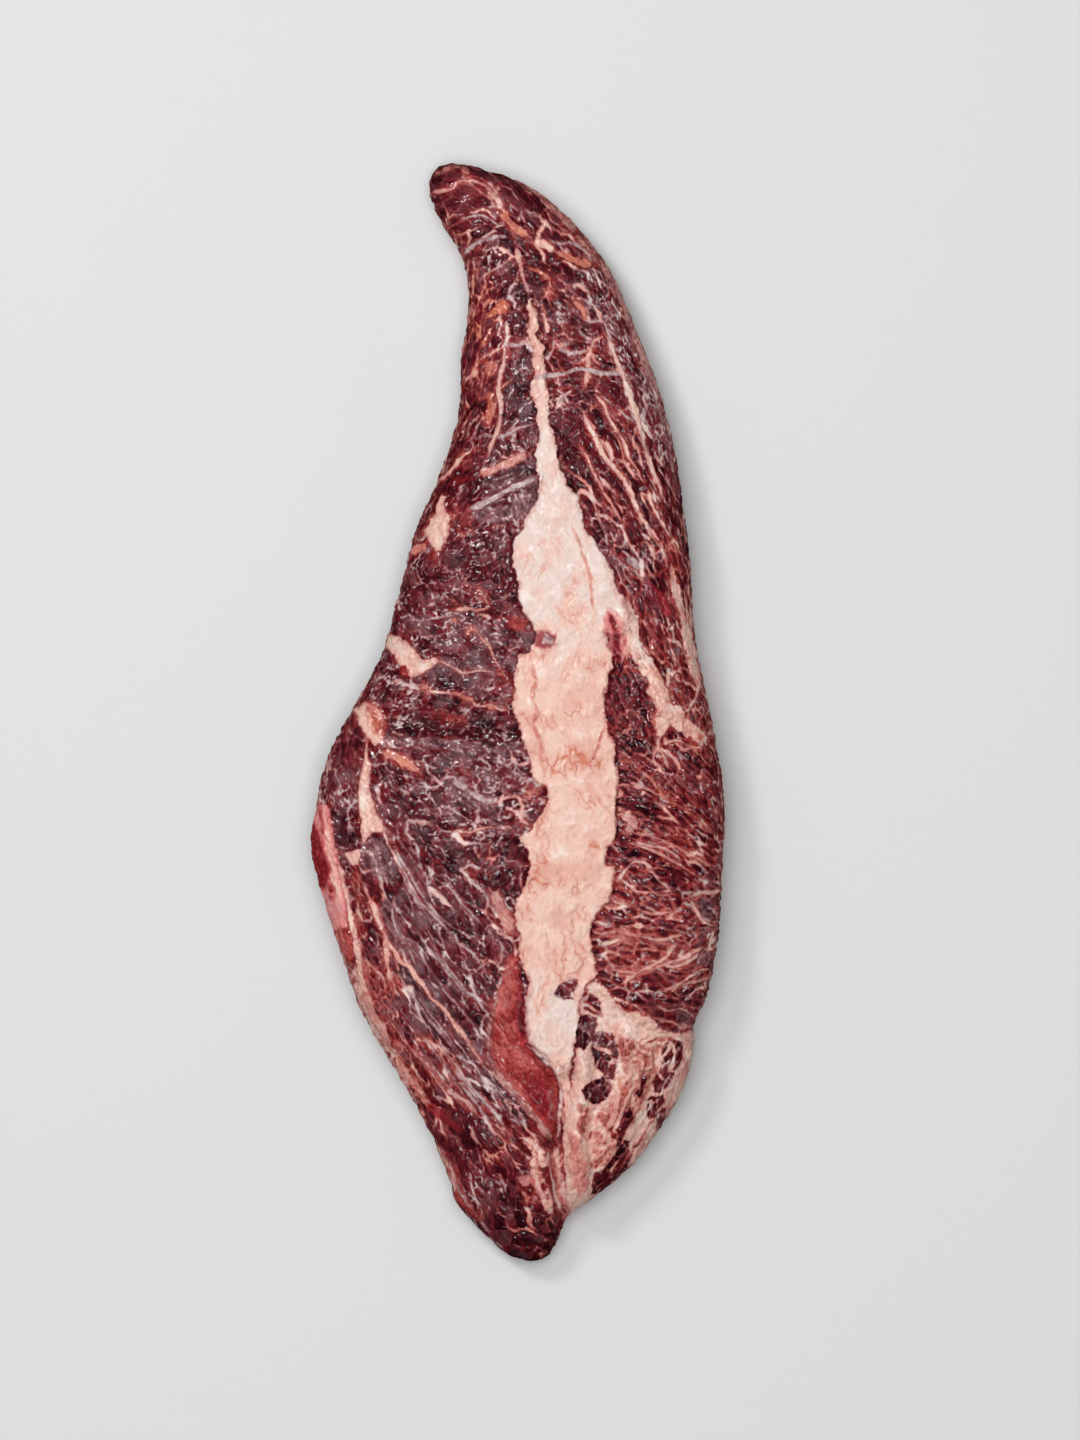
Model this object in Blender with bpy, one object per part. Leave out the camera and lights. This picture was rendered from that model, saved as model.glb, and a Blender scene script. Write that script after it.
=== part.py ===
"""A raw boneless beef short rib, trimmed to one long slab that tapers to both ends.

The slab is a loft: a ladder of rungs runs from the tail to the tip, each rung spans the slab from its left
edge to its right edge, and a rounded section with a flat foot stands on every rung. Low relief on top is the
slab's own anatomy: the seam of hard fat down the middle, its branches, the bundles and the clefts between lobes.
+Y runs from the tail to the tip, +X to the right, +Z up. The slab lies on Z = 0.
"""

import bpy
import bmesh
import numpy as np

MM = 0.001

# Each rung of the ladder in mm: left edge x and y, right edge x and y, and how high the slab stands there.
RUNGS = (
    (0.0, -169.4, 7.5, -169.6, 10.5),
    (-4.2, -167.2, 10.3, -167.4, 13.5),
    (-8.2, -163.8, 12.3, -164.0, 16.0),
    (-12.6, -159.4, 13.8, -159.8, 18.5),
    (-16.6, -155.2, 16.2, -155.4, 20.5),
    (-19.6, -150.4, 22.6, -150.8, 22.5),
    (-21.0, -145.0, 30.2, -145.0, 24.5),
    (-24.0, -137.0, 38.0, -137.0, 27.0),
    (-27.6, -129.0, 44.2, -128.0, 29.0),
    (-32.4, -120.0, 49.4, -119.0, 31.0),
    (-38.4, -110.0, 52.8, -110.0, 33.0),
    (-43.0, -102.5, 54.3, -102.5, 34.5),
    (-46.6, -96.0, 54.4, -96.5, 35.6),
    (-50.0, -89.0, 57.8, -89.5, 36.6),
    (-53.0, -80.0, 60.2, -80.0, 37.6),
    (-56.2, -70.0, 61.9, -70.0, 38.6),
    (-59.5, -60.0, 62.6, -60.0, 39.4),
    (-62.2, -50.0, 63.1, -50.0, 40.0),
    (-64.0, -40.0, 63.8, -40.0, 40.2),
    (-62.4, -30.0, 64.0, -30.0, 40.2),
    (-60.8, -20.0, 63.0, -20.0, 40.0),
    (-57.0, -10.0, 61.3, -10.0, 39.6),
    (-51.6, 0.0, 59.5, 0.0, 39.2),
    (-46.0, 10.0, 57.2, 10.0, 38.6),
    (-41.3, 20.0, 55.2, 20.0, 38.0),
    (-38.6, 30.0, 54.2, 30.0, 37.4),
    (-35.9, 40.0, 53.6, 40.0, 36.6),
    (-33.5, 50.0, 53.0, 50.0, 35.8),
    (-30.2, 60.0, 51.6, 60.0, 35.0),
    (-25.6, 70.0, 50.2, 70.0, 34.0),
    (-21.8, 80.0, 48.6, 80.0, 33.0),
    (-18.9, 90.0, 46.3, 90.0, 32.0),
    (-17.7, 100.0, 43.5, 100.0, 31.0),
    (-17.8, 109.0, 40.3, 109.0, 30.0),
    (-16.6, 116.0, 37.2, 117.0, 29.0),
    (-15.7, 123.0, 33.8, 125.5, 28.0),
    (-15.6, 130.0, 29.8, 134.0, 27.0),
    (-16.6, 137.5, 24.8, 142.0, 26.0),
    (-19.4, 143.8, 19.2, 149.0, 25.0),
    (-22.8, 149.0, 12.8, 155.6, 23.5),
    (-25.6, 154.4, 4.6, 161.6, 21.5),
    (-27.2, 159.4, -4.6, 165.8, 18.5),
    (-27.8, 163.2, -13.6, 168.6, 15.0),
    (-27.0, 165.6, -20.0, 169.9, 11.0),
)
TAIL_END = (3.8, -170.0)
TIP_END = (-24.6, 168.6)

WAIST = 0.36  # share of the slab's height at which it is widest
END_HEIGHT = 5.0  # height of the two end points over the board
SHOULDER_POWER = 2.5  # roundness of the section above the waist, 2 being an ellipse
FOOT_POWER = 4.5  # roundness of the section below the waist
FOOT_SINK = 1.10  # how far the lower curve would pass the board before it is pressed flat

RINGS = 94  # sections between the two end points
TOP_STEPS = 44  # faces across the top of a section
FOOT_STEPS = 12  # faces across its underside

# The seam of hard fat: y, left edge, right edge.
SEAM = (
    (127.0, 2.4, 4.2),
    (110.0, 4.3, 8.2),
    (90.0, 5.4, 10.2),
    (76.0, 5.4, 13.2),
    (64.0, 5.2, 19.0),
    (54.0, -0.5, 22.5),
    (40.0, -0.4, 30.0),
    (28.0, 2.6, 33.0),
    (14.0, -1.0, 29.0),
    (0.0, -1.0, 27.2),
    (-14.0, 3.6, 29.8),
    (-30.0, 7.0, 30.4),
    (-44.0, 2.8, 28.4),
    (-56.0, 1.4, 29.4),
    (-68.0, 0.0, 22.2),
    (-80.0, 1.8, 22.0),
    (-94.0, 1.2, 18.6),
    (-104.0, 4.2, 17.0),
    (-114.0, 12.0, 15.4),
)
SEAM_RISE = 1.3
SEAM_EDGE = 2.2  # width of the slope at the seam's border

# Ridges and clefts: (height, half width, points). A negative height is a cleft.
FOLDS = (
    (-2.6, 4.2, ((14.8, -114), (13.0, -124), (12.4, -134), (13.2, -146), (14.2, -155))),
    (1.8, 4.6, ((-4.0, -80), (-4.0, -96), (2.0, -108), (7.5, -120), (9.5, -127))),
    (-1.5, 2.4, ((0.4, -101), (8.0, -107.5), (12.0, -117), (12.8, -129))),
    (-1.6, 5.0, ((-40, -2), (-22, -4), (-5, -4))),
    (1.2, 3.0, ((-40, -10), (-22, -10), (-4, -14))),
    (1.4, 3.0, ((33, 30), (35.5, 20), (41, 13), (46, 4), (53, -3), (58, -7))),
    (-1.6, 1.8, ((66, -54.5), (60, -55.5), (54, -57))),
    (1.6, 2.6, ((24, -83), (32, -89), (42, -96), (56, -100.5))),
    (-2.4, 2.4, ((60, -95.5), (52, -95), (44, -91))),
    (-1.1, 2.4, ((-21, -139), (-16.5, -150), (-7, -163))),
    (1.1, 1.9, ((6, 71.5), (-4, 67), (-13, 63))),
    (-0.9, 2.0, ((5, 64), (-6, 59), (-18, 57))),
    (0.9, 1.8, ((-26, 71), (-16, 79.5), (-5, 86), (5, 88))),
    (1.4, 3.0, ((-62, -30), (-60, -44), (-56, -60), (-52, -76))),
    (-1.2, 1.8, ((-55, -38), (-52, -54), (-48.5, -70))),
    (1.5, 3.4, ((-41, -50), (-28, -66), (-16, -82), (-8, -92))),
    (-1.3, 2.2, ((-46, -56), (-34, -72), (-22, -90), (-12, -104))),
    (1.3, 3.2, ((-46, -72), (-34, -88), (-20, -106), (-4, -124))),
    (1.5, 4.0, ((-42, -92), (-30, -108), (-14, -128), (0, -140))),
    (-1.5, 3.0, ((-28, -120), (-16, -133), (-6, -146), (2, -158))),
    (-1.5, 2.4, ((4, -128), (2, -140), (4, -152))),
    (1.2, 3.2, ((20, -104), (19, -120), (18, -136), (20, -148))),
    (-1.4, 2.2, ((24, -104), (24, -118), (22, -132), (24, -143))),
    (1.1, 3.0, ((33, -100), (34, -114), (32, -130))),
    (-1.2, 2.2, ((43, -104), (41, -120), (34, -136))),
    (1.2, 3.2, ((22, 92), (34, 70), (44, 44))),
    (1.1, 3.0, ((31, 96), (42, 72), (50, 48))),
    (-1.0, 2.4, ((27, 84), (38, 60), (46, 38))),
    (-1.2, 2.0, ((-18, 141), (-8, 145), (2, 143), (14, 137), (24, 132))),
    (1.0, 2.2, ((-20, 146), (-8, 149.5), (4, 148))),
    (-0.9, 1.8, ((-25, 158), (-14, 163), (-4, 160))),
    (1.0, 2.4, ((34, -22), (46, -30), (60, -34))),
    (-0.9, 2.2, ((33, -30), (46, -37), (61, -41))),
    (1.0, 2.4, ((30, -64), (44, -66), (60, -64))),
    (-0.9, 2.2, ((28, -73), (44, -75), (60, -74))),
    (0.9, 2.6, ((-30, 40), (-20, 38), (-9, 42))),
    (-1.0, 2.6, ((-36, 30), (-22, 31), (-8, 29))),
    (0.9, 2.4, ((-38, 20), (-24, 15), (-6, 12))),
)

FAT_COLOUR = (0.78, 0.48, 0.40, 1.0)
LEAN_COLOUR = (0.165, 0.022, 0.024, 1.0)
MARBLING_SCALE = 190.0  # cells of marbling to a metre


def clear_scene():
    """Removes every object."""
    for old in list(bpy.data.objects):
        bpy.data.objects.remove(old)


def smooth_through(stations, values, at):
    """Values at the given stations, read along a smooth curve through all of them (cubic, Catmull-Rom)."""
    stations = np.asarray(stations, float)
    values = np.asarray(values, float)
    slope = np.gradient(values, stations, axis=0)
    i = np.clip(np.searchsorted(stations, at, side="right") - 1, 0, len(stations) - 2)
    span = stations[i + 1] - stations[i]
    t = (at - stations[i]) / span
    if values.ndim > 1:
        span, t = span[:, None], t[:, None]
    return (
        (2 * t**3 - 3 * t**2 + 1) * values[i]
        + (t**3 - 2 * t**2 + t) * span * slope[i]
        + (3 * t**2 - 2 * t**3) * values[i + 1]
        + (t**3 - t**2) * span * slope[i + 1]
    )


def smooth_step(x):
    """0 below 0, 1 above 1, and a smooth rise between."""
    x = np.clip(x, 0.0, 1.0)
    return x * x * (3.0 - 2.0 * x)


def distance_to_path(x, y, path):
    """Distance of each point from a path of straight pieces."""
    nearest = np.full(x.shape, np.inf)
    for (ax, ay), (bx, by) in zip(path[:-1], path[1:]):
        dx, dy = bx - ax, by - ay
        t = np.clip(((x - ax) * dx + (y - ay) * dy) / (dx * dx + dy * dy), 0.0, 1.0)
        nearest = np.minimum(nearest, np.hypot(x - ax - t * dx, y - ay - t * dy))
    return nearest


def relief(x, y):
    """Height of the low relief over the plain loft, in mm, at plan points."""
    stations = np.array(SEAM)[::-1]
    edges = smooth_through(stations[:, 0], stations[:, 1:], np.clip(y.ravel(), *stations[[0, -1], 0]))
    left, right = edges[:, 0].reshape(y.shape), edges[:, 1].reshape(y.shape)
    inside = np.minimum(x - left, right - x)
    past_end = np.maximum(np.maximum(y - SEAM[0][0], SEAM[-1][0] - y), 0.0)
    height = SEAM_RISE * smooth_step((inside - past_end) / SEAM_EDGE + 0.5)
    for rise, half_width, path in FOLDS:
        near = distance_to_path(x, y, path) / half_width
        height = height + rise * np.exp(-near * near)
    return height


def section_profile():
    """One section as (across, up) shares: across from -1 to 1, up from -1 at the foot to 1 at the crown."""
    top = np.linspace(np.pi, 0.0, TOP_STEPS + 1)
    foot = np.linspace(0.0, -np.pi, FOOT_STEPS + 1)[1:-1]
    angle = np.concatenate([top, foot])
    power = np.where(angle >= 0.0, SHOULDER_POWER, FOOT_POWER)
    across = np.sign(np.cos(angle)) * np.abs(np.cos(angle)) ** (2.0 / power)
    up = np.sign(np.sin(angle)) * np.abs(np.sin(angle)) ** (2.0 / power)
    return across, up


def slab_points():
    """The loft's rings as an array of rings, points of a ring and x, y, z, in mm."""
    rungs = np.array(RUNGS)
    at = np.linspace(0.0, len(rungs) - 1.0, RINGS)
    rungs = smooth_through(np.arange(len(rungs)), rungs, at)
    left, right, crown = rungs[:, None, 0:2], rungs[:, None, 2:4], rungs[:, None, 4]
    across, up = section_profile()
    plan = (left + right) / 2.0 + (right - left) / 2.0 * across[None, :, None]
    waist = WAIST * crown
    lift = np.where(up > 0.0, (crown - waist) * up, waist * FOOT_SINK * up)
    upper = smooth_step(up / 0.6)
    z = np.maximum(waist + lift + relief(plan[..., 0], plan[..., 1]) * upper[None, :], 0.0)
    return np.concatenate([plan, z[..., None]], axis=2)


def build_slab():
    """The slab's mesh: rings joined by quads, and a fan of triangles at each end."""
    rings = slab_points()
    mesh = bmesh.new()
    rows = [[mesh.verts.new(point * MM) for point in ring] for ring in rings]
    around = len(rows[0])
    for near, far in zip(rows[:-1], rows[1:]):
        for i in range(around):
            j = (i + 1) % around
            mesh.faces.new((near[i], near[j], far[j], far[i]))
    for end, row in ((TAIL_END, rows[0]), (TIP_END, rows[-1])):
        point = mesh.verts.new((end[0] * MM, end[1] * MM, END_HEIGHT * MM))
        for i in range(around):
            mesh.faces.new((point, row[i], row[(i + 1) % around]))
    bmesh.ops.recalc_face_normals(mesh, faces=mesh.faces)
    data = bpy.data.meshes.new("short_rib")
    mesh.to_mesh(data)
    mesh.free()
    data.shade_smooth()
    return data


def marbled_meat():
    """Raw beef: dark red lean with a net of pale fat."""
    material = bpy.data.materials.new("marbled_raw_beef")
    material.use_nodes = True
    nodes, links = material.node_tree.nodes, material.node_tree.links
    surface = nodes["Principled BSDF"]
    surface.inputs["Roughness"].default_value = 0.35
    surface.inputs["Metallic"].default_value = 0.0
    place = nodes.new("ShaderNodeTexCoord")
    cells = nodes.new("ShaderNodeTexVoronoi")
    cells.feature = "DISTANCE_TO_EDGE"
    cells.inputs["Scale"].default_value = MARBLING_SCALE
    ramp = nodes.new("ShaderNodeValToRGB")
    ramp.color_ramp.elements[0].color = FAT_COLOUR
    ramp.color_ramp.elements[1].color = LEAN_COLOUR
    ramp.color_ramp.elements[1].position = 0.16
    links.new(place.outputs["Object"], cells.inputs["Vector"])
    links.new(cells.outputs["Distance"], ramp.inputs["Fac"])
    links.new(ramp.outputs["Color"], surface.inputs["Base Color"])
    return material


def main():
    """Builds the part in a collection of its own."""
    clear_scene()
    home = bpy.data.collections.new("short_rib_part")
    bpy.context.scene.collection.children.link(home)
    slab = bpy.data.objects.new("short_rib", build_slab())
    slab.data.materials.append(marbled_meat())
    home.objects.link(slab)


main()
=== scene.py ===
"""A raw boneless beef short rib: one long slab of marbled lean with a seam of pale fat down its middle.

The slab is a loft on a ladder of rungs, drawn fine enough to carry its own marbling. Three things make its
look: bundles of muscle, worked out cell by cell with the grain of each region; the seam, branches, films and
lines of fat, placed one by one; and a wet material that reads what both of them leave on the surface.
+Y runs from the tail to the tip, +X to the right, +Z up. Sizes are in millimetres until they go into a mesh.
"""

import logging
from dataclasses import dataclass, field
from enum import Enum

import bpy
import numpy as np
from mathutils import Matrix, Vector

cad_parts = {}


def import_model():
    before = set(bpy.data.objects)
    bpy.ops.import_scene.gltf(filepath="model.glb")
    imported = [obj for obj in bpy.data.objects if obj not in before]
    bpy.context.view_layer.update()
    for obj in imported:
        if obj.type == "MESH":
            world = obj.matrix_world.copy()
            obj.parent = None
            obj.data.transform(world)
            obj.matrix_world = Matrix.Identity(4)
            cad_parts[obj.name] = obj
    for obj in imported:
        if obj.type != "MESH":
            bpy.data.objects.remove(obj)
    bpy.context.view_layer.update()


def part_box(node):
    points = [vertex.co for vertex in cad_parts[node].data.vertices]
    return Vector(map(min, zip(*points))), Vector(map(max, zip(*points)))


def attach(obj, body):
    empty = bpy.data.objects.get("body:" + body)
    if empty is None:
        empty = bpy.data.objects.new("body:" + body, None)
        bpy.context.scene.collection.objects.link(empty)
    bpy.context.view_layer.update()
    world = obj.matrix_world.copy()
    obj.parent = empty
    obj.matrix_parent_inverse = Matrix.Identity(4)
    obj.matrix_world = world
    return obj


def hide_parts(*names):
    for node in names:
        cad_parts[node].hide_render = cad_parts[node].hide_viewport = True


log = logging.getLogger("short_rib")

Array = np.ndarray
Point = tuple[float, float]
# A path holds its points' x and y in turn
Path = tuple[float, ...]
Colour = tuple[float, float, float, float]
Stops = tuple[tuple[float, str], ...]
Tree = bpy.types.NodeTree
Socket = bpy.types.NodeSocket
Shade = Socket | Colour

MM = 0.001


def linear(code: str) -> Colour:
    """Turns an sRGB hex colour into linear light.

    Args:
        code: six hex digits, such as "EBC8B9".

    Returns:
        Red, green, blue and an alpha of 1. Each channel is c / 12.92 below 0.04045, else
        ((c + 0.055) / 1.055) ^ 2.4.
    """
    share = np.array([int(code[i : i + 2], 16) for i in (0, 2, 4)]) / 255.0
    light = np.where(share <= 0.04045, share / 12.92, ((share + 0.055) / 1.055) ** 2.4)
    return (*(float(v) for v in light), 1.0)


def smooth_step(x: Array) -> Array:
    """0 below 0, 1 above 1, and 3x^2 - 2x^3 between."""
    x = np.clip(x, 0.0, 1.0)
    return x * x * (3.0 - 2.0 * x)


def smooth_through(stations: Array, values: Array, at: Array) -> Array:
    """Values at the stations, read along a smooth curve through all of them.

    Between two stations it is the cubic with their values and with slopes taken from their neighbours.

    Args:
        stations: rising places of the known values.
        values: the known values, one row for each station.
        at: places to read.

    Returns:
        One row for each place in at.
    """
    stations = np.asarray(stations, float)
    values = np.asarray(values, float)
    slope = np.gradient(values, stations, axis=0)
    i = np.clip(np.searchsorted(stations, at, side="right") - 1, 0, len(stations) - 2)
    span = stations[i + 1] - stations[i]
    t = (at - stations[i]) / span
    if values.ndim > 1:
        span, t = span[:, None], t[:, None]
    return (
        (2 * t**3 - 3 * t**2 + 1) * values[i]
        + (t**3 - 2 * t**2 + t) * span * slope[i]
        + (3 * t**2 - 2 * t**3) * values[i + 1]
        + (t**3 - t**2) * span * slope[i + 1]
    )


def points_of(path: Path) -> Array:
    """The points of a path, one row each."""
    return np.reshape(np.array(path, float), (-1, 2))


def curve_through(path: Path, steps: int = 6) -> Array:
    """A smooth curve through the points of a path.

    Args:
        path: the path.
        steps: pieces between two points.

    Returns:
        Points along the curve, one row each.
    """
    points = points_of(path)
    if len(points) < 3:
        return points
    along = np.concatenate([[0.0], np.cumsum(np.hypot(*np.diff(points, axis=0).T))])
    at = np.interp(np.arange((len(points) - 1) * steps + 1) / steps, np.arange(len(points)), along)
    return smooth_through(along, points, at)


def in_box(x: Array, y: Array, points: Array, margin: float) -> Array:
    """Which places lie in the box around some points.

    Args:
        x, y: places, in mm.
        points: the points.
        margin: how far the box reaches beyond them, in mm.

    Returns:
        True for each place in the box.
    """
    px, py = points.T
    across = (x > px.min() - margin) & (x < px.max() + margin)
    return across & (y > py.min() - margin) & (y < py.max() + margin)


def distance_to_path(x: Array, y: Array, points: Array) -> tuple[Array, Array]:
    """Distance of each place from a line of straight pieces, and how far along the line the nearest point is.

    Args:
        x, y: places, in mm.
        points: the line's points, one row each.

    Returns:
        Distances in mm, and shares of the line's length from 0 to 1.
    """
    nearest = np.full(x.shape, np.inf, np.float32)
    share = np.zeros(x.shape, np.float32)
    lengths = np.hypot(*np.diff(points, axis=0).T)
    total = max(lengths.sum(), 1e-6)
    start = 0.0
    for (ax, ay), (bx, by), length in zip(points[:-1], points[1:], lengths):
        dx, dy = bx - ax, by - ay
        t = np.clip(((x - ax) * dx + (y - ay) * dy) / max(length * length, 1e-9), 0.0, 1.0)
        away = np.hypot(x - ax - t * dx, y - ay - t * dy)
        closer = away < nearest
        nearest = np.where(closer, away, nearest)
        share = np.where(closer, (start + t * length) / total, share)
        start += length
    return nearest, share


@dataclass(frozen=True)
class Ripple:
    """Smooth random waves over a plane (gradient noise).

    seed starts its random slopes, which repeat after a tile of squares. gain brings the waves to about 1.
    """

    seed: int
    tile: int = 256
    gain: float = 1.6

    def __call__(self, x: Array, y: Array, size: float) -> Array:
        """Height of the waves.

        The plane is cut into squares. Each corner has a random slope, and a place's height is its four
        corners' slopes times its offsets from them, blended by 6t^5 - 15t^4 + 10t^3.

        Args:
            x, y: places, in mm.
            size: side of a square, in mm: about half a wave.

        Returns:
            Heights from about -1 to 1.
        """
        turn = np.random.default_rng(self.seed).uniform(0.0, 2.0 * np.pi, (self.tile, self.tile))
        slope_x, slope_y = np.cos(turn).astype(np.float32), np.sin(turn).astype(np.float32)
        gx, gy = x / size, y / size
        left, low = np.floor(gx), np.floor(gy)
        u, v = (gx - left).astype(np.float32), (gy - low).astype(np.float32)
        i, j = left.astype(np.int64) % self.tile, low.astype(np.int64) % self.tile
        i1, j1 = (i + 1) % self.tile, (j + 1) % self.tile
        a = slope_x[i, j] * u + slope_y[i, j] * v
        b = slope_x[i1, j] * (u - 1) + slope_y[i1, j] * v
        c = slope_x[i, j1] * u + slope_y[i, j1] * (v - 1)
        d = slope_x[i1, j1] * (u - 1) + slope_y[i1, j1] * (v - 1)
        fu = u * u * u * (u * (u * 6 - 15) + 10)
        fv = v * v * v * (v * (v * 6 - 15) + 10)
        low_edge = a + fu * (b - a)
        return self.gain * (low_edge + fv * (c + fu * (d - c) - low_edge))


@dataclass(frozen=True)
class Sheet:
    """A flat grid of places over which a pattern is worked out: its reach each way and its step, in mm."""

    reach_x: float
    reach_y: float
    step: float

    def places(self) -> tuple[Array, Array]:
        """X and y of every place, as two arrays of rows and columns."""
        xs = np.arange(-self.reach_x, self.reach_x + self.step / 2, self.step, dtype=np.float32)
        ys = np.arange(-self.reach_y, self.reach_y + self.step / 2, self.step, dtype=np.float32)
        return tuple(np.meshgrid(xs, ys))

    def blur(self, values: Array, size: float) -> Array:
        """Spreads values over the sheet by a Gaussian of a size in mm.

        A wave of frequency f is damped by exp(-2 (pi size f)^2).
        """
        across = np.fft.rfftfreq(values.shape[1], self.step)
        along = np.fft.fftfreq(values.shape[0], self.step)[:, None]
        damp = np.exp(-2.0 * (np.pi * size) ** 2 * (across**2 + along**2))
        return np.fft.irfft2(np.fft.rfft2(values) * damp, values.shape).astype(np.float32)

    def window(self, x: Point, y: Point) -> tuple[slice, slice]:
        """Rows and columns that cover a range of x and a range of y, in mm."""
        cols = [int((v + self.reach_x) / self.step) for v in x]
        rows = [int((v + self.reach_y) / self.step) for v in y]
        return slice(max(rows[0], 0), max(rows[1] + 2, 0)), slice(max(cols[0], 0), max(cols[1] + 2, 0))

    def read(self, values: Array, x: Array, y: Array) -> Array:
        """Reads a pattern between its places, as the blend of the four nearest.

        Args:
            values: the pattern, rows and columns first.
            x: places to read, in mm.
            y: places to read, in mm.

        Returns:
            One value, or one row of values, for each place.
        """
        rows, cols = values.shape[:2]
        gx = np.clip((x + self.reach_x) / self.step, 0, cols - 1.001)
        gy = np.clip((y + self.reach_y) / self.step, 0, rows - 1.001)
        i, j = gy.astype(int), gx.astype(int)
        u, v = gx - j, gy - i
        if values.ndim > 2:
            u, v = u[..., None], v[..., None]
        near = values[i, j] * (1 - u) + values[i, j + 1] * u
        far = values[i + 1, j] * (1 - u) + values[i + 1, j + 1] * u
        return (near * (1 - v) + far * v).astype(np.float32)


RUNGS = (
    (0, -169.4, 7.5, -169.6, 10.5),
    (-4.2, -167.2, 10.3, -167.4, 13.5),
    (-8.2, -163.8, 12.3, -164, 16),
    (-12.6, -159.4, 13.8, -159.8, 18.5),
    (-16.6, -155.2, 16.2, -155.4, 20.5),
    (-19.6, -150.4, 22.6, -150.8, 22.5),
    (-21, -145, 30.2, -145, 24.5),
    (-24, -137, 38, -137, 27),
    (-27.6, -129, 44.2, -128, 29),
    (-32.4, -120, 49.4, -119, 31),
    (-38.4, -110, 52.8, -110, 33),
    (-43, -102.5, 54.3, -102.5, 34.5),
    (-46.6, -96, 54.4, -96.5, 35.6),
    (-50, -89, 57.8, -89.5, 36.6),
    (-53, -80, 60.2, -80, 37.6),
    (-56.2, -70, 61.9, -70, 38.6),
    (-59.5, -60, 62.6, -60, 39.4),
    (-62.2, -50, 63.1, -50, 40),
    (-64, -40, 63.8, -40, 40.2),
    (-62.4, -30, 64, -30, 40.2),
    (-60.8, -20, 63, -20, 40),
    (-57, -10, 61.3, -10, 39.6),
    (-51.6, 0, 59.5, 0, 39.2),
    (-46, 10, 57.2, 10, 38.6),
    (-41.3, 20, 55.2, 20, 38),
    (-38.6, 30, 54.2, 30, 37.4),
    (-35.9, 40, 53.6, 40, 36.6),
    (-33.5, 50, 53, 50, 35.8),
    (-30.2, 60, 51.6, 60, 35),
    (-25.6, 70, 50.2, 70, 34),
    (-21.8, 80, 48.6, 80, 33),
    (-18.9, 90, 46.3, 90, 32),
    (-17.7, 100, 43.5, 100, 31),
    (-17.8, 109, 40.3, 109, 30),
    (-16.6, 116, 37.2, 117, 29),
    (-15.7, 123, 33.8, 125.5, 28),
    (-15.6, 130, 29.8, 134, 27),
    (-16.6, 137.5, 24.8, 142, 26),
    (-19.4, 143.8, 19.2, 149, 25),
    (-22.8, 149, 12.8, 155.6, 23.5),
    (-25.6, 154.4, 4.6, 161.6, 21.5),
    (-27.2, 159.4, -4.6, 165.8, 18.5),
    (-27.8, 163.2, -13.6, 168.6, 15),
    (-27, 165.6, -20, 169.9, 11),
)

FOLDS = (
    (-3.4, 3, (14.8, -114, 13, -124, 12.4, -134, 13.2, -146, 14.2, -155)),
    (1.8, 4.6, (-4, -80, -4, -96, 2, -108, 7.5, -120, 9.5, -127)),
    (-1.7, 1.6, (0.4, -101, 8, -107.5, 12, -117, 12.8, -129)),
    (-1.6, 5, (-40, -2, -22, -4, -5, -4)),
    (1.2, 3, (-40, -10, -22, -10, -4, -14)),
    (1.4, 3, (33, 30, 35.5, 20, 41, 13, 46, 4, 53, -3, 58, -7)),
    (-1.6, 1.8, (66, -54.5, 60, -55.5, 54, -57)),
    (1.6, 2.6, (24, -83, 32, -89, 42, -96, 56, -100.5)),
    (-2.4, 2.4, (60, -95.5, 52, -95, 44, -91)),
    (-1.1, 2, (-21, -139, -16.5, -150, -7, -163)),
    (1.1, 1.9, (6, 71.5, -4, 67, -13, 63)),
    (-0.9, 2, (5, 64, -6, 59, -18, 57)),
    (0.9, 1.8, (-26, 71, -16, 79.5, -5, 86, 5, 88)),
    (1.4, 3, (-62, -30, -60, -44, -56, -60, -52, -76)),
    (-1.2, 1.8, (-55, -38, -52, -54, -48.5, -70)),
    (1.5, 3.4, (-41, -50, -28, -66, -16, -82, -8, -92)),
    (-1.3, 2.2, (-46, -56, -34, -72, -22, -90, -12, -104)),
    (1.3, 3.2, (-46, -72, -34, -88, -20, -106, -4, -124)),
    (1.5, 4, (-42, -92, -30, -108, -14, -128, 0, -140)),
    (-1.5, 3, (-28, -120, -16, -133, -6, -146, 2, -158)),
    (-1.5, 2.4, (4, -128, 2, -140, 4, -152)),
    (1.2, 3.2, (20, -104, 19, -120, 18, -136, 20, -148)),
    (-1.4, 2.2, (24, -104, 24, -118, 22, -132, 24, -143)),
    (1.1, 3, (33, -100, 34, -114, 32, -130)),
    (-1.2, 2.2, (43, -104, 41, -120, 34, -136)),
    (1.2, 3.2, (22, 92, 34, 70, 44, 44)),
    (1.1, 3, (31, 96, 42, 72, 50, 48)),
    (-1, 2.4, (27, 84, 38, 60, 46, 38)),
    (-1.2, 2, (-18, 141, -8, 145, 2, 143, 14, 137, 24, 132)),
    (1, 2.2, (-20, 146, -8, 149.5, 4, 148)),
    (-0.9, 1.8, (-25, 158, -14, 163, -4, 160)),
    (1, 2.4, (34, -22, 46, -30, 60, -34)),
    (-0.9, 2.2, (33, -30, 46, -37, 61, -41)),
    (1, 2.4, (30, -64, 44, -66, 60, -64)),
    (-0.9, 2.2, (28, -73, 44, -75, 60, -74)),
    (0.9, 2.6, (-30, 40, -20, 38, -9, 42)),
    (-1, 2.6, (-36, 30, -22, 31, -8, 29)),
    (0.9, 2.4, (-38, 20, -24, 15, -6, 12)),
)


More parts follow.
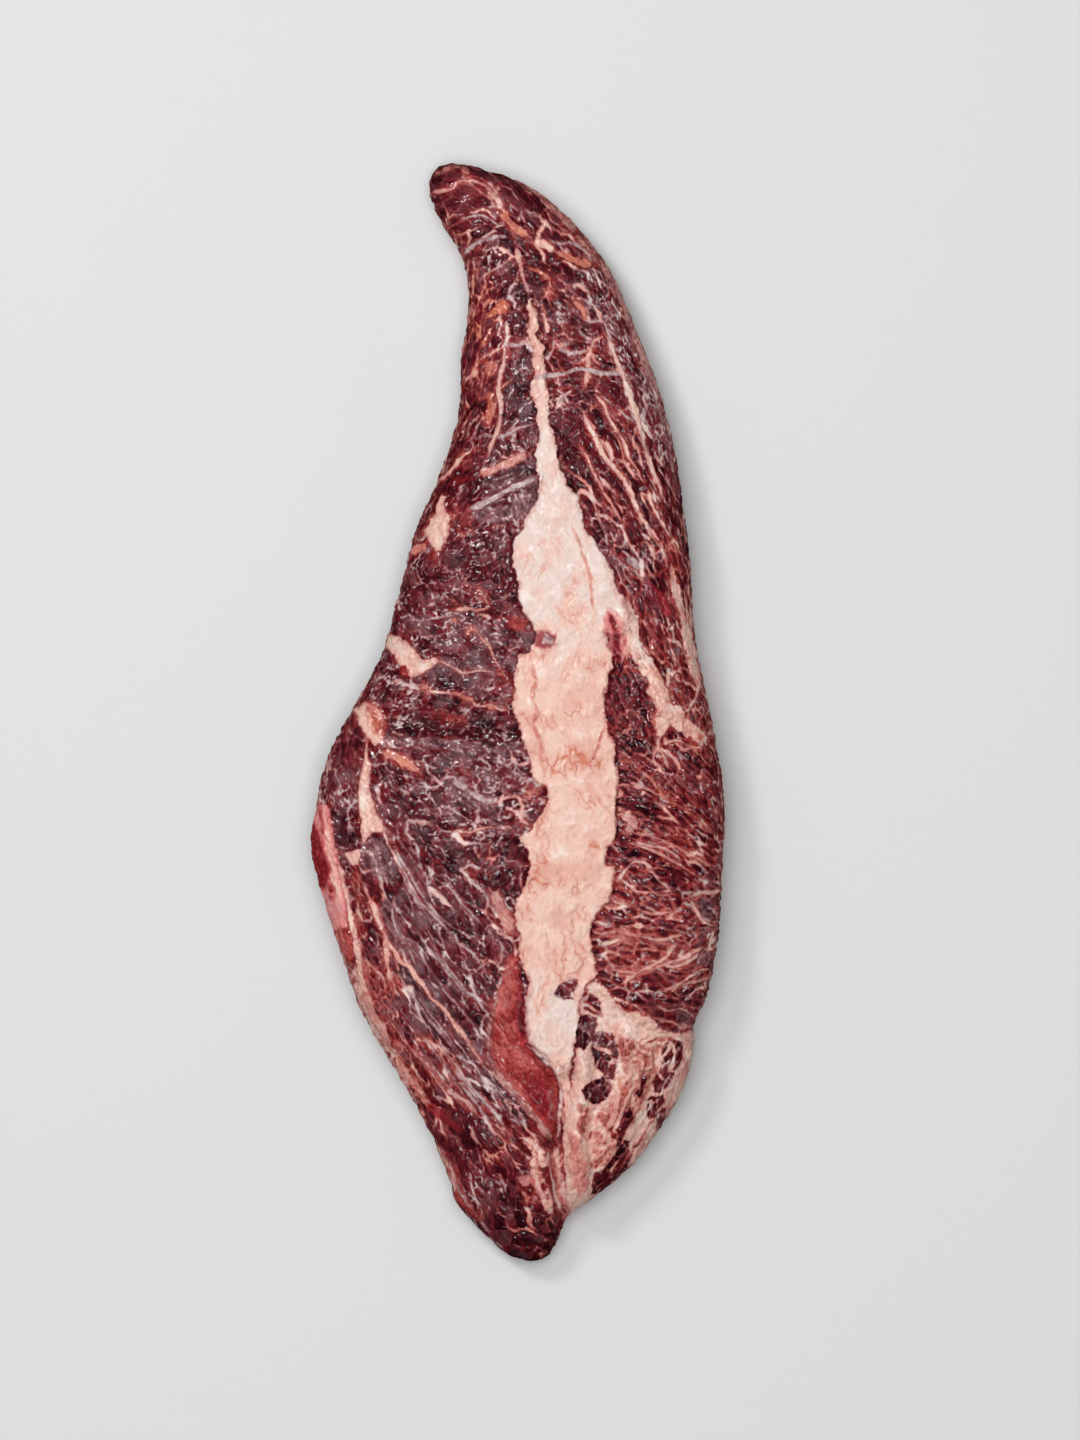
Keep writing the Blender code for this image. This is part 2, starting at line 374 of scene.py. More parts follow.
@dataclass(frozen=True)
class Slab:
    """The slab's plain form: a ladder of rungs with a rounded, flat-footed section on each.

    rungs holds each rung's left edge x and y, right edge x and y, and the height of the slab there. folds
    holds ridges and clefts as height, half width and path. waist is the share of the height at which a
    section is widest. Below that it would reach foot_sink times as deep, and is cut off flat as the foot.
    """

    rungs: tuple[tuple[float, ...], ...] = RUNGS
    folds: tuple[tuple[float, float, Path], ...] = FOLDS
    tail_end: Point = (3.8, -170.0)
    tip_end: Point = (-24.6, 168.6)
    end_height: float = 5.0
    waist: float = 0.36
    shoulder_power: float = 2.5
    foot_power: float = 4.5
    foot_sink: float = 1.10
    fold_reach: float = 3.0
    rows: int = 1150
    end_rows: int = 26
    skin_columns: int = 640
    foot_columns: int = 80
    dense_angles: int = 20001
    dense_rungs: int = 4000
    typical_half_width: float = 58.0
    typical_height: float = 38.0
    seam_rise: float = 1.3
    seam_edge: float = 2.2

    def profile(self, angle: Array) -> tuple[Array, Array]:
        """A section's outline: |cos| ^ (2 / power) across and |sin| ^ (2 / power) up, each with its sign.

        Args:
            angle: angles round the section, in radians.

        Returns:
            Shares of the half width, and shares of the height over and under the waist.
        """
        power = np.where(np.sin(angle) >= 0.0, self.shoulder_power, self.foot_power)
        across = np.sign(np.cos(angle)) * np.abs(np.cos(angle)) ** (2.0 / power)
        up = np.sign(np.sin(angle)) * np.abs(np.sin(angle)) ** (2.0 / power)
        return across, up

    def angles(self) -> Array:
        """Angles of a section's points, evenly spaced along a section of typical size.

        Returns:
            First the skin, from foot edge to foot edge over the top, then the flat foot.
        """
        edge = np.arcsin((1.0 / self.foot_sink) ** (self.foot_power / 2.0))
        dense = np.linspace(np.pi + edge, -edge, self.dense_angles)
        across, up = self.profile(dense)
        waist = self.waist * self.typical_height
        high = waist + np.where(up > 0, (self.typical_height - waist) * up, waist * self.foot_sink * up)
        step = np.hypot(np.diff(across) * self.typical_half_width, np.diff(high))
        arc = np.concatenate([[0.0], np.cumsum(step)])
        skin = np.interp(np.linspace(0.0, arc[-1], self.skin_columns + 1), arc, dense)
        foot_end = self.profile(np.array([-edge]))[0][0]
        foot_across = np.linspace(foot_end, -foot_end, self.foot_columns + 1)[1:-1]
        foot = -np.arccos(np.sign(foot_across) * np.abs(foot_across) ** (self.foot_power / 2.0))
        return np.concatenate([skin, foot])

    def grid(self) -> tuple[Array, Array, Array]:
        """The slab's points before any relief.

        Returns:
            Points as rows, columns and x, y, z; the same points with the skin rolled out flat, as x and y;
            and each column's share of height over the waist.
        """
        rungs = np.array(self.rungs)
        dense = np.linspace(0.0, len(rungs) - 1.0, self.dense_rungs)
        middle = smooth_through(np.arange(len(rungs)), rungs[:, [1, 3]].mean(1), dense)
        middle = np.maximum.accumulate(middle)
        at = np.interp(np.linspace(middle[0], middle[-1], self.rows), middle, dense)
        rungs = smooth_through(np.arange(len(rungs)), rungs, at)
        left, right, crown = rungs[:, None, 0:2], rungs[:, None, 2:4], rungs[:, None, 4]
        across, up = self.profile(self.angles())
        plan = (left + right) / 2.0 + (right - left) / 2.0 * across[None, :, None]
        waist = self.waist * crown
        high = waist + np.where(up > 0.0, (crown - waist) * up, waist * self.foot_sink * up)
        points = np.concatenate([plan, np.maximum(high, 0.0)[..., None]], axis=2)
        rolled = self.roll_out(points, left, right)
        tail, tail_rolled = self.end_rings(points[0], rolled[0], self.tail_end, -1.0)
        tip, tip_rolled = self.end_rings(points[-1], rolled[-1], self.tip_end, 1.0)
        points = np.concatenate([tail[::-1], points, tip])
        rolled = np.concatenate([tail_rolled[::-1], rolled, tip_rolled])
        return points, rolled, up

    def roll_out(self, points: Array, left: Array, right: Array) -> Array:
        """Rolls the skin out flat: a point lies as far from its row's middle as the skin goes between them.

        Args:
            points: the loft's points, in rows and columns.
            left: each row's left edge, as x and y.
            right: each row's right edge, as x and y.

        Returns:
            X and y of each point on the rolled-out skin.
        """
        skin = self.skin_columns + 1
        step = np.linalg.norm(np.diff(points[:, :skin], axis=1), axis=2)
        arc = np.concatenate([np.zeros((len(points), 1)), np.cumsum(step, axis=1)], axis=1)
        middle = self.skin_columns // 2
        arc = arc - arc[:, middle : middle + 1]
        direction = (right - left) / np.linalg.norm(right - left, axis=2, keepdims=True)
        rolled = points[:, middle : middle + 1, :2] + direction * arc[..., None]
        # The foot is never seen with the skin, so it reads the pattern in mirror image.
        foot = points[:, skin:, :2] * np.array([1.0, -1.0])
        return np.concatenate([rolled, foot], axis=1)

    def end_rings(self, ring: Array, rolled: Array, end: Point, way: float) -> tuple[Array, Array]:
        """Rings that shrink from the last section to the end point, in straight lines.

        Args:
            ring: the last section's points.
            rolled: the same points on the rolled-out skin.
            end: x and y of the end point.
            way: -1 at the tail and 1 at the tip.

        Returns:
            The rings from the section outwards, and their points on the rolled-out skin.
        """
        goal = np.array([*end, self.end_height])
        share = 1.0 - (np.arange(self.end_rows) + 1.0)[:, None, None] / (self.end_rows + 1.0)
        rings = goal + (ring - goal)[None] * share
        away = np.linalg.norm(ring - goal, axis=1)[None, :] * (1.0 - share[..., 0])
        flat = np.repeat(rolled[None], self.end_rows, axis=0)
        flat[..., 1] += way * away
        return rings, flat

    def relief(self, x: Array, y: Array, seam: Array) -> Array:
        """Height of the ridges and clefts over the plain loft.

        Each fold adds its height times exp(-(distance / half width)^2); the seam stands up by its rise.

        Args:
            x, y: places, in mm.
            seam: distance inside the seam's border, in mm, negative outside.

        Returns:
            Heights in mm.
        """
        height = self.seam_rise * smooth_step(seam / self.seam_edge + 0.5)
        for rise, half_width, path in self.folds:
            points = points_of(path)
            near = in_box(x, y, points, self.fold_reach * half_width)
            away, _ = distance_to_path(x[near], y[near], points)
            height[near] += rise * np.exp(-((away / half_width) ** 2))
        return height


@dataclass(frozen=True)
class Grain:
    """How the lean lies around one place.

    long and wide are a bundle's size in mm and angle its direction in degrees. net is how much fat lies
    between the bundles, film how much pale skin covers them, warm how orange the fat is, tone how light the
    lean is, curl how many thin bent threads of tissue show, glow how far the lean turns brick red towards
    its borders, and blush how red rather than purple it is.
    """

    x: float
    y: float
    angle: float
    long: float
    wide: float
    net: float = 1.0
    film: float = 0.2
    warm: float = 0.4
    tone: float = 0.4
    curl: float = 0.4
    glow: float = 0.16
    blush: float = 0.38


# Rows for Grain, with its fields in their order
GRAINS = (
    # Tip
    (-24, 163, 25, 6, 3, 0.38, 0.3, 0.3, 0.42, 0.3),
    (-16, 158, -8, 8, 3.6, 0.22, 0.2, 0.4, 0.57, 0.2),
    (-8, 160, -42, 5, 2.6, 0.68, 0.4, 0.35, 0.37, 0.5),
    (1, 156, -58, 8, 2.6, 0.38, 0.3, 0.3, 0.32, 0.3),
    (11, 151, -42, 5, 1.8, 0.6, 0.3, 0.5, 0.47, 0.4),
    (-14, 150, 8, 6, 2.2, 0.6, 0.3, 0.35, 0.42, 0.6),
    (-18, 144, 30, 5, 2, 0.6, 0.2, 0.5, 0.47, 0.4),
    (6, 149, -48, 6, 1.6, 0.6, 0.3, 0.35, 0.37, 0.5),
    (16, 144, -38, 7, 2.4, 0.45, 0.2, 0.4, 0.37, 0.3),
    (-8, 137, 35, 3.6, 2.4, 0.9, 0.5, 0.25, 0.42, 0.8),
    (5, 135, -32, 7, 2.8, 0.52, 0.2, 0.6, 0.37, 0.3),
    (15, 134, -48, 5, 2.6, 0.68, 0.2, 0.35, 0.39, 0.4),
    (26, 130, -48, 3.6, 1.6, 0.9, 0.5, 0.2, 0.39, 0.9),
    # Upper left
    (-12, 129, 60, 3.4, 2.6, 0.62, 0.2, 0.75, 0.48, 0.3),
    (-2, 128, 40, 3.2, 2.4, 0.56, 0.5, 0.2, 0.36, 0.6),
    (-13, 117, 70, 3.6, 2, 0.56, 0.1, 0.85, 0.48, 0.4),
    (-1, 117, 80, 3, 2.4, 0.5, 0.4, 0.3, 0.38, 0.5),
    (-16, 106, 70, 5.5, 1.8, 0.5, 0.3, 0.55, 0.38, 0.5),
    (-11, 97, 65, 5.5, 2, 0.68, 0.2, 0.85, 0.44, 0.4),
    (-1, 106, 80, 5, 3.4, 0.31, 0.8, 0.1, 0.36, 0.7),
    (0, 93, 35, 4, 3.2, 0.37, 0.8, 0.15, 0.38, 0.6),
    (-15, 88, 60, 5, 1.8, 0.5, 0.4, 0.4, 0.34, 0.5),
    (-3, 82, -62, 4.2, 1.4, 0.5, 0.5, 0.2, 0.36, 1),
    (-17, 75, 45, 5, 2.2, 0.37, 0.1, 0.5, 0.46, 0.5),
    (-3, 73, 20, 5, 2.4, 0.31, 0.7, 0.3, 0.38, 0.8),
    # Upper right
    (10, 126, -35, 4, 2, 0.7, 0.3, 0.5, 0.42, 0.6),
    (18, 120, -30, 3.4, 2, 0.86, 0.4, 0.2, 0.42, 0.9),
    (30, 120, -55, 3, 1.4, 0.86, 0.5, 0.2, 0.35, 0.9),
    (12, 113, -40, 4.4, 2.4, 0.62, 0.2, 0.4, 0.42, 0.4),
    (24, 109, -35, 4.6, 3, 0.62, 0.2, 0.4, 0.42, 0.3),
    (35, 108, -62, 3.6, 1.5, 0.86, 0.5, 0.15, 0.33, 0.9),
    (15, 96, 20, 2.6, 2, 0.86, 0.1, 0.3, 0.42, 0.4),
    (27, 98, -56, 6.5, 3.4, 0.62, 0.1, 0.5, 0.39, 0.2),
    (40, 95, -66, 3.6, 1.8, 0.86, 0.4, 0.2, 0.35, 0.7),
    (16, 84, -50, 6, 4, 0.31, 0.3, 0.4, 0.43, 0.3),
    (28, 82, -58, 12, 3, 0.86, 0, 0.5, 0.41, 0.1),
    (36, 78, -58, 13, 3.2, 0.86, 0, 0.5, 0.41, 0.1),
    (46, 82, -66, 3.6, 1.6, 0.78, 0.4, 0.2, 0.33, 0.8),
    (18, 73, -58, 4.5, 2.6, 0.55, 0.4, 0.4, 0.35, 0.6),
    (26, 66, -56, 10, 2.6, 0.86, 0.1, 0.4, 0.41, 0.3),
    (38, 62, -58, 10, 2.4, 0.86, 0.1, 0.45, 0.41, 0.3),
    (48, 62, -68, 7, 2, 0.7, 0.1, 0.4, 0.39, 0.3),
    # Left, middle
    (-24, 60, 60, 5, 2.6, 0.5, 0.1, 0.3, 0.41, 0.4),
    (-12, 60, 30, 4, 2.4, 0.3, 0.2, 0.24, 0.44, 0.9),
    (0, 61, -65, 4, 1.3, 0.4, 0.5, 0.12, 0.45, 1),
    (-12, 53, 10, 3.4, 2.4, 0.5, 0.3, 0.42, 0.49, 0.9),
    (-26, 50, 60, 4, 2.2, 0.4, 0.4, 0.18, 0.37, 0.6),
    (-18, 46, 30, 4.4, 3.4, 0.3, 0.4, 0.18, 0.37, 0.6),
    (-5, 44, 85, 5, 3.6, 0.3, 0.3, 0.24, 0.41, 0.4),
    (-28, 38, -20, 3.8, 2.6, 0.4, 0.4, 0.18, 0.33, 0.7),
    (-14, 35, -10, 4.6, 3, 0.4, 0.3, 0.18, 0.37, 0.6),
    (-26, 27, -20, 4.4, 2.6, 0.5, 0.8, 0.12, 0.39, 1),
    (-14, 27, -15, 4, 2.4, 0.4, 0.7, 0.24, 0.41, 1),
    (-34, 22, -40, 4, 2, 0.4, 0.4, 0.18, 0.31, 0.8),
    (-14, 17, -10, 5, 3.4, 0.2, 1, 0.12, 0.45, 0.5),
    (-20, 8, -10, 5, 3, 0.3, 0.8, 0.18, 0.45, 0.5),
    (-36, 6, 10, 2.8, 1.8, 0.6, 0.5, 0.18, 0.39, 1),
    (-6, 7, -30, 4, 3, 0.4, 0.6, 0.24, 0.45, 0.5),
    (-22, -4, -6, 4, 1.8, 0.15, 0, 0.18, 0.22, 0.4, 0.16, 0.8),
    (-8, -3, -8, 4, 2.2, 0.2, 0.3, 0.18, 0.29, 0.6),
    (-20, -12, -10, 4, 1.6, 0.4, 0.9, 0.12, 0.39, 1),
    (-6, -16, -30, 3.4, 1.8, 0.5, 0.7, 0.18, 0.45, 1),
    # Left, lower
    (-55, -8, -60, 4.4, 3, 0.3, 0.1, 0.18, 0.32, 0.3),
    (-53, -25, -58, 3.6, 1.8, 0.5, 0.6, 0.06, 0.31, 0.8),
    (-53, -38, -65, 3.6, 1.8, 0.4, 0.3, 0.06, 0.27, 0.7),
    (-36, -20, -38, 5, 2.4, 0.5, 0.5, 0.18, 0.42, 0.8),
    (-36, -32, -42, 5.5, 2.6, 0.6, 0.4, 0.24, 0.4, 0.6),
    (-18, -24, -38, 5, 2.2, 0.5, 0.6, 0.24, 0.44, 0.9),
    (-20, -36, -10, 5, 3, 0.8, 0.5, 0.12, 0.4, 0.7),
    (-5, -34, 10, 4, 2.4, 0.7, 0.4, 0.18, 0.42, 0.8),
    (-5, -46, 45, 4.6, 4, 0.4, 0.3, 0.3, 0.44, 0.6),
    (-34, -46, -55, 6, 2.6, 0.7, 0.5, 0.18, 0.4, 0.6),
    (-20, -48, -50, 5, 2.6, 0.7, 0.4, 0.18, 0.4, 0.7),
    (-46, -54, -62, 5, 2, 0.7, 0.3, 0.3, 0.36, 0.5),
    (-32, -60, -54, 10, 2, 0.7, 0.8, 0.05, 0.38, 0.6),
    (-16, -58, -56, 7, 2.6, 0.6, 0.4, 0.15, 0.4, 0.5),
    (-6, -62, -62, 6, 2.4, 0.9, 0.4, 0.3, 0.44, 0.6),
    (-28, -74, -52, 11, 2, 0.7, 0.6, 0.05, 0.36, 0.5),
    (-15, -74, -56, 8.5, 3.2, 0.6, 0.3, 0.18, 0.38, 0.5),
    (-7, -76, -58, 5, 2, 0.8, 0.2, 0.3, 0.44, 0.6),
    (-46, -60, -66, 4.2, 1.9, 0.5, 0.2, 0.35, 0.44, 0.4, 0.35),
    (-43, -84, -64, 3.2, 1.8, 0.6, 0.45, 0.5, 0.5, 0.2, 0.48),
    (-35, -103, -58, 3.2, 1.8, 0.6, 0.45, 0.5, 0.52, 0.2, 0.48),
    (-28, -90, -52, 11, 1.7, 0.7, 0.8, 0.05, 0.34, 0.4),
    (-15, -90, -54, 7.5, 3, 0.6, 0.3, 0.15, 0.34, 0.6),
    (-12, -102, -54, 9, 1.5, 0.6, 0.7, 0.2, 0.36, 0.6),
    (-26, -112, -52, 8, 1.6, 0.6, 0.4, 0.3, 0.42, 0.5, 0.4),
    (-12, -116, -50, 8, 1.6, 1.1, 0.6, 0.18, 0.36, 0.8),
    (-1, -122, -48, 7, 1.8, 0.7, 0.5, 0.24, 0.32, 0.6),
    # Right, middle
    (28, 55, -56, 6.5, 2.6, 0.77, 0.3, 0.35, 0.42, 0.5, 0.42),
    (36, 46, -56, 6.5, 2.2, 0.77, 0.5, 0.2, 0.4, 0.6, 0.42),
    (47, 48, -66, 7, 2, 0.77, 0.1, 0.5, 0.44, 0.4, 0.42),
    (38, 33, -66, 8, 3, 0.42, 0.2, 0.4, 0.42, 0.3, 0.42),
    (48, 25, -66, 6, 1.8, 0.77, 0.2, 0.5, 0.42, 0.5, 0.42),
    (44, 15, -58, 4, 2, 0.77, 0.3, 0.5, 0.4, 0.6, 0.42),
    (32, 6, -68, 5.5, 2.4, 0.26, 0.2, 0.4, 0.34, 0.3, 0.42),
    (38, -4, -50, 4.6, 2.6, 0.34, 0.2, 0.4, 0.36, 0.5, 0.42),
    (50, 6, -60, 4, 1.8, 0.85, 0.3, 0.4, 0.4, 0.6, 0.42),
    (54, -8, -45, 4, 2, 0.77, 0.2, 0.5, 0.4, 0.5, 0.42),
    (38, -15, -35, 6, 2, 0.59, 0.2, 0.5, 0.4, 0.5, 0.42),
    (52, -20, -36, 6, 1.6, 0.68, 0.3, 0.45, 0.38, 0.6, 0.42),
    (60, -26, -50, 4, 1.6, 0.59, 0.3, 0.4, 0.36, 0.6, 0.42),
    (38, -28, -26, 6.5, 2, 0.68, 0.2, 0.45, 0.4, 0.5, 0.42),
    (50, -34, -24, 7, 1.8, 0.85, 0.1, 0.55, 0.42, 0.5, 0.42),
    (36, -44, -24, 7, 2.6, 0.66, 0.1, 0.45, 0.42, 0.6, 0.56),
    (52, -46, -32, 7.5, 2.2, 0.76, 0.1, 0.5, 0.44, 0.6, 0.56),
    (34, -54, -22, 6.5, 2.8, 0.76, 0.2, 0.4, 0.4, 0.7, 0.54),
    (56, -55, -20, 6, 2.2, 0.6, 0.4, 0.3, 0.4, 0.7, 0.5),
    (34, -64, -10, 6.5, 3, 0.86, 0.2, 0.45, 0.42, 0.6, 0.54),
    (52, -64, -18, 6.5, 2.8, 0.76, 0.3, 0.4, 0.4, 0.7, 0.52),
    (32, -76, -14, 6.5, 3, 0.86, 0.2, 0.45, 0.42, 0.6, 0.54),
    (48, -73, -14, 6.5, 2.8, 0.76, 0.3, 0.4, 0.4, 0.7, 0.52),
    (58, -75, 30, 5.5, 2.4, 0.7, 0.5, 0.35, 0.38, 0.6, 0.44),
    (46, -83, -20, 6, 2.6, 0.8, 0.3, 0.4, 0.4, 0.7, 0.5),
    (36, -84, -20, 6, 2.6, 0.86, 0.2, 0.5, 0.4, 0.6, 0.52),
    (48, -92, -12, 5.5, 3, 0.51, 0.4, 0.2, 0.32, 0.6, 0.42),
    # Fatty lobe and tail
    (26, -102, -75, 3.4, 2.4, 0.6, 0.5, 0.25, 0.34, 0.8),
    (26, -114, -60, 3.4, 2.4, 0.6, 0.3, 0.25, 0.32, 0.8),
    (38, -106, 40, 4.4, 3.2, 0.9, 0.1, 0.6, 0.34, 0.2),
    (48, -106, 65, 5, 1.8, 0.7, 0.1, 0.3, 0.32, 0.6),
    (44, -120, 70, 4, 1.8, 0.8, 0.2, 0.3, 0.26, 0.6),
    (32, -124, 50, 5, 2.8, 0.9, 0.1, 0.6, 0.28, 0.2),
    (32, -138, 55, 4, 2, 0.5, 0.2, 0.4, 0.28, 0.5),
    (22, -138, 85, 4, 2, 0.8, 0.1, 0.5, 0.36, 0.2),
    (27, -146, 55, 4, 2, 0.5, 0.2, 0.5, 0.3, 0.5),
    (-20, -124, -56, 9, 3.4, 0.5, 0.2, 0.45, 0.44, 0.3),
    (-18, -136, -62, 10, 3.6, 0.3, 0.3, 0.3, 0.36, 0.3),
    (-7, -134, -58, 8, 1.6, 0.7, 0.1, 0.5, 0.46, 0.5),
    (-12, -148, -60, 6, 2.4, 0.5, 0.4, 0.25, 0.3, 0.8),
    (0, -146, -55, 4, 2.2, 0.6, 0.2, 0.4, 0.34, 0.6),
    (-6, -158, -50, 6, 3.4, 0.3, 0.3, 0.3, 0.36, 0.4),
    (6, -158, -40, 4, 2.4, 0.5, 0.3, 0.5, 0.3, 0.5),
    (3, -167, 10, 5, 2.6, 0.4, 0.3, 0.4, 0.36, 0.4),
)


@dataclass(frozen=True)
class Wash:
    """A broad round patch where the lean's tone, blush and net are raised or lowered.

    reach is how far from its middle, in mm, a patch has faded to about a third.
    """

    x: float
    y: float
    reach: float
    tone: float
    blush: float = 0.0
    net: float = 0.0


# Rows for Wash, with its fields in their order
WASHES = (
    (-10, 152, 20, 0.11, -0.18, 0.14),
    (8, 142, 14, 0, -0.2, 0.14),
    (-11, 118, 15, 0.06, -0.08, 0.12),
    (40, 96, 14, 0.17, -0.12, 0.16),
    (-18, 40, 24, 0.11, -0.1),
    (-20, -4, 14, 0.15, 0.04),
    (-19, 19, 12, 0.05),
    (31, 77, 14, -0.04, 0.2, -0.24),
    (-24, -34, 24, 0.02, 0.04, -0.1),
    (-22, -62, 20, 0.01, -0.14),
    (-24, -86, 16, -0.06, -0.1, -0.08),
    (-12, -146, 18, 0.1, -0.06),
    (46, -32, 22, -0.11, -0.02, -0.1),
    (42, -74, 20, 0.1, 0, -0.14),
    (58, -34, 10, 0.07),
    (-54, -16, 14, 0.24, -0.18, 0.08),
    (34, 112, 20, 0, 0, -0.1),
    (18, 120, 20, 0, 0.1, -0.12),
)


@dataclass
class GrainField:
    """The grain of the lean all over the slab, blended from the places where it is known.

    blur is how far round a known place, in mm, its own values hold.
    """

    grains: tuple[Grain, ...] = tuple(Grain(*row) for row in GRAINS)
    washes: tuple[Wash, ...] = tuple(Wash(*row) for row in WASHES)
    sheet: Sheet = field(default_factory=lambda: Sheet(108.0, 186.0, 2.0))
    blur: float = 5.0

    NAMES = ("long", "wide", "net", "film", "warm", "tone", "curl", "glow", "blush")

    def __post_init__(self) -> None:
        """Blends the known places: each weighs 1 / (distance^2 + blur^2)^2."""
        x, y = self.sheet.places()
        total = np.zeros(x.shape)
        kept = np.zeros((*x.shape, len(self.NAMES) + 2))
        for grain in self.grains:
            weight = 1.0 / ((x - grain.x) ** 2 + (y - grain.y) ** 2 + self.blur**2) ** 2
            turn = np.radians(2.0 * grain.angle)
            values = [getattr(grain, name) for name in self.NAMES] + [np.cos(turn), np.sin(turn)]
            kept += weight[..., None] * np.array(values)
            total += weight
        self.values = (kept / total[..., None]).astype(np.float32)
        for wash in self.washes:
            near = np.exp(-((x - wash.x) ** 2 + (y - wash.y) ** 2) / wash.reach**2)
            for name in ("tone", "blush", "net"):
                self.values[..., self.NAMES.index(name)] += getattr(wash, name) * near

    def read(self, x: Array, y: Array) -> dict[str, Array]:
        """Every quality of the grain at some places in mm, with the angle in radians."""
        values = self.sheet.read(self.values, x, y)
        found = {name: values[..., k] for k, name in enumerate(self.NAMES)}
        found["angle"] = 0.5 * np.arctan2(values[..., -1], values[..., -2])
        return found


@dataclass(frozen=True)
class Weave:
    """How one order of bundles is packed, and how wide the fat between them is.

    scale is how much longer and wider a cell is than the grain says, and wobble how far its border wanders
    in mm. seed starts the random draws. passes is how often each cell's centre is moved to its middle, which
    evens the cells out. least and most are half widths of the fat in mm, where there is little and much.
    """

    scale: Point
    wobble: float
    seed: int
    passes: int
    least: float
    most: float


COARSE = Weave((2.1, 2.3), 1.0, 11, 1, 0.10, 0.62)
FINE = Weave((0.95, 0.95), 0.55, 23, 2, 0.07, 0.36)
THIN = Weave((0.50, 0.55), 0.35, 37, 0, 0.09, 0.20)


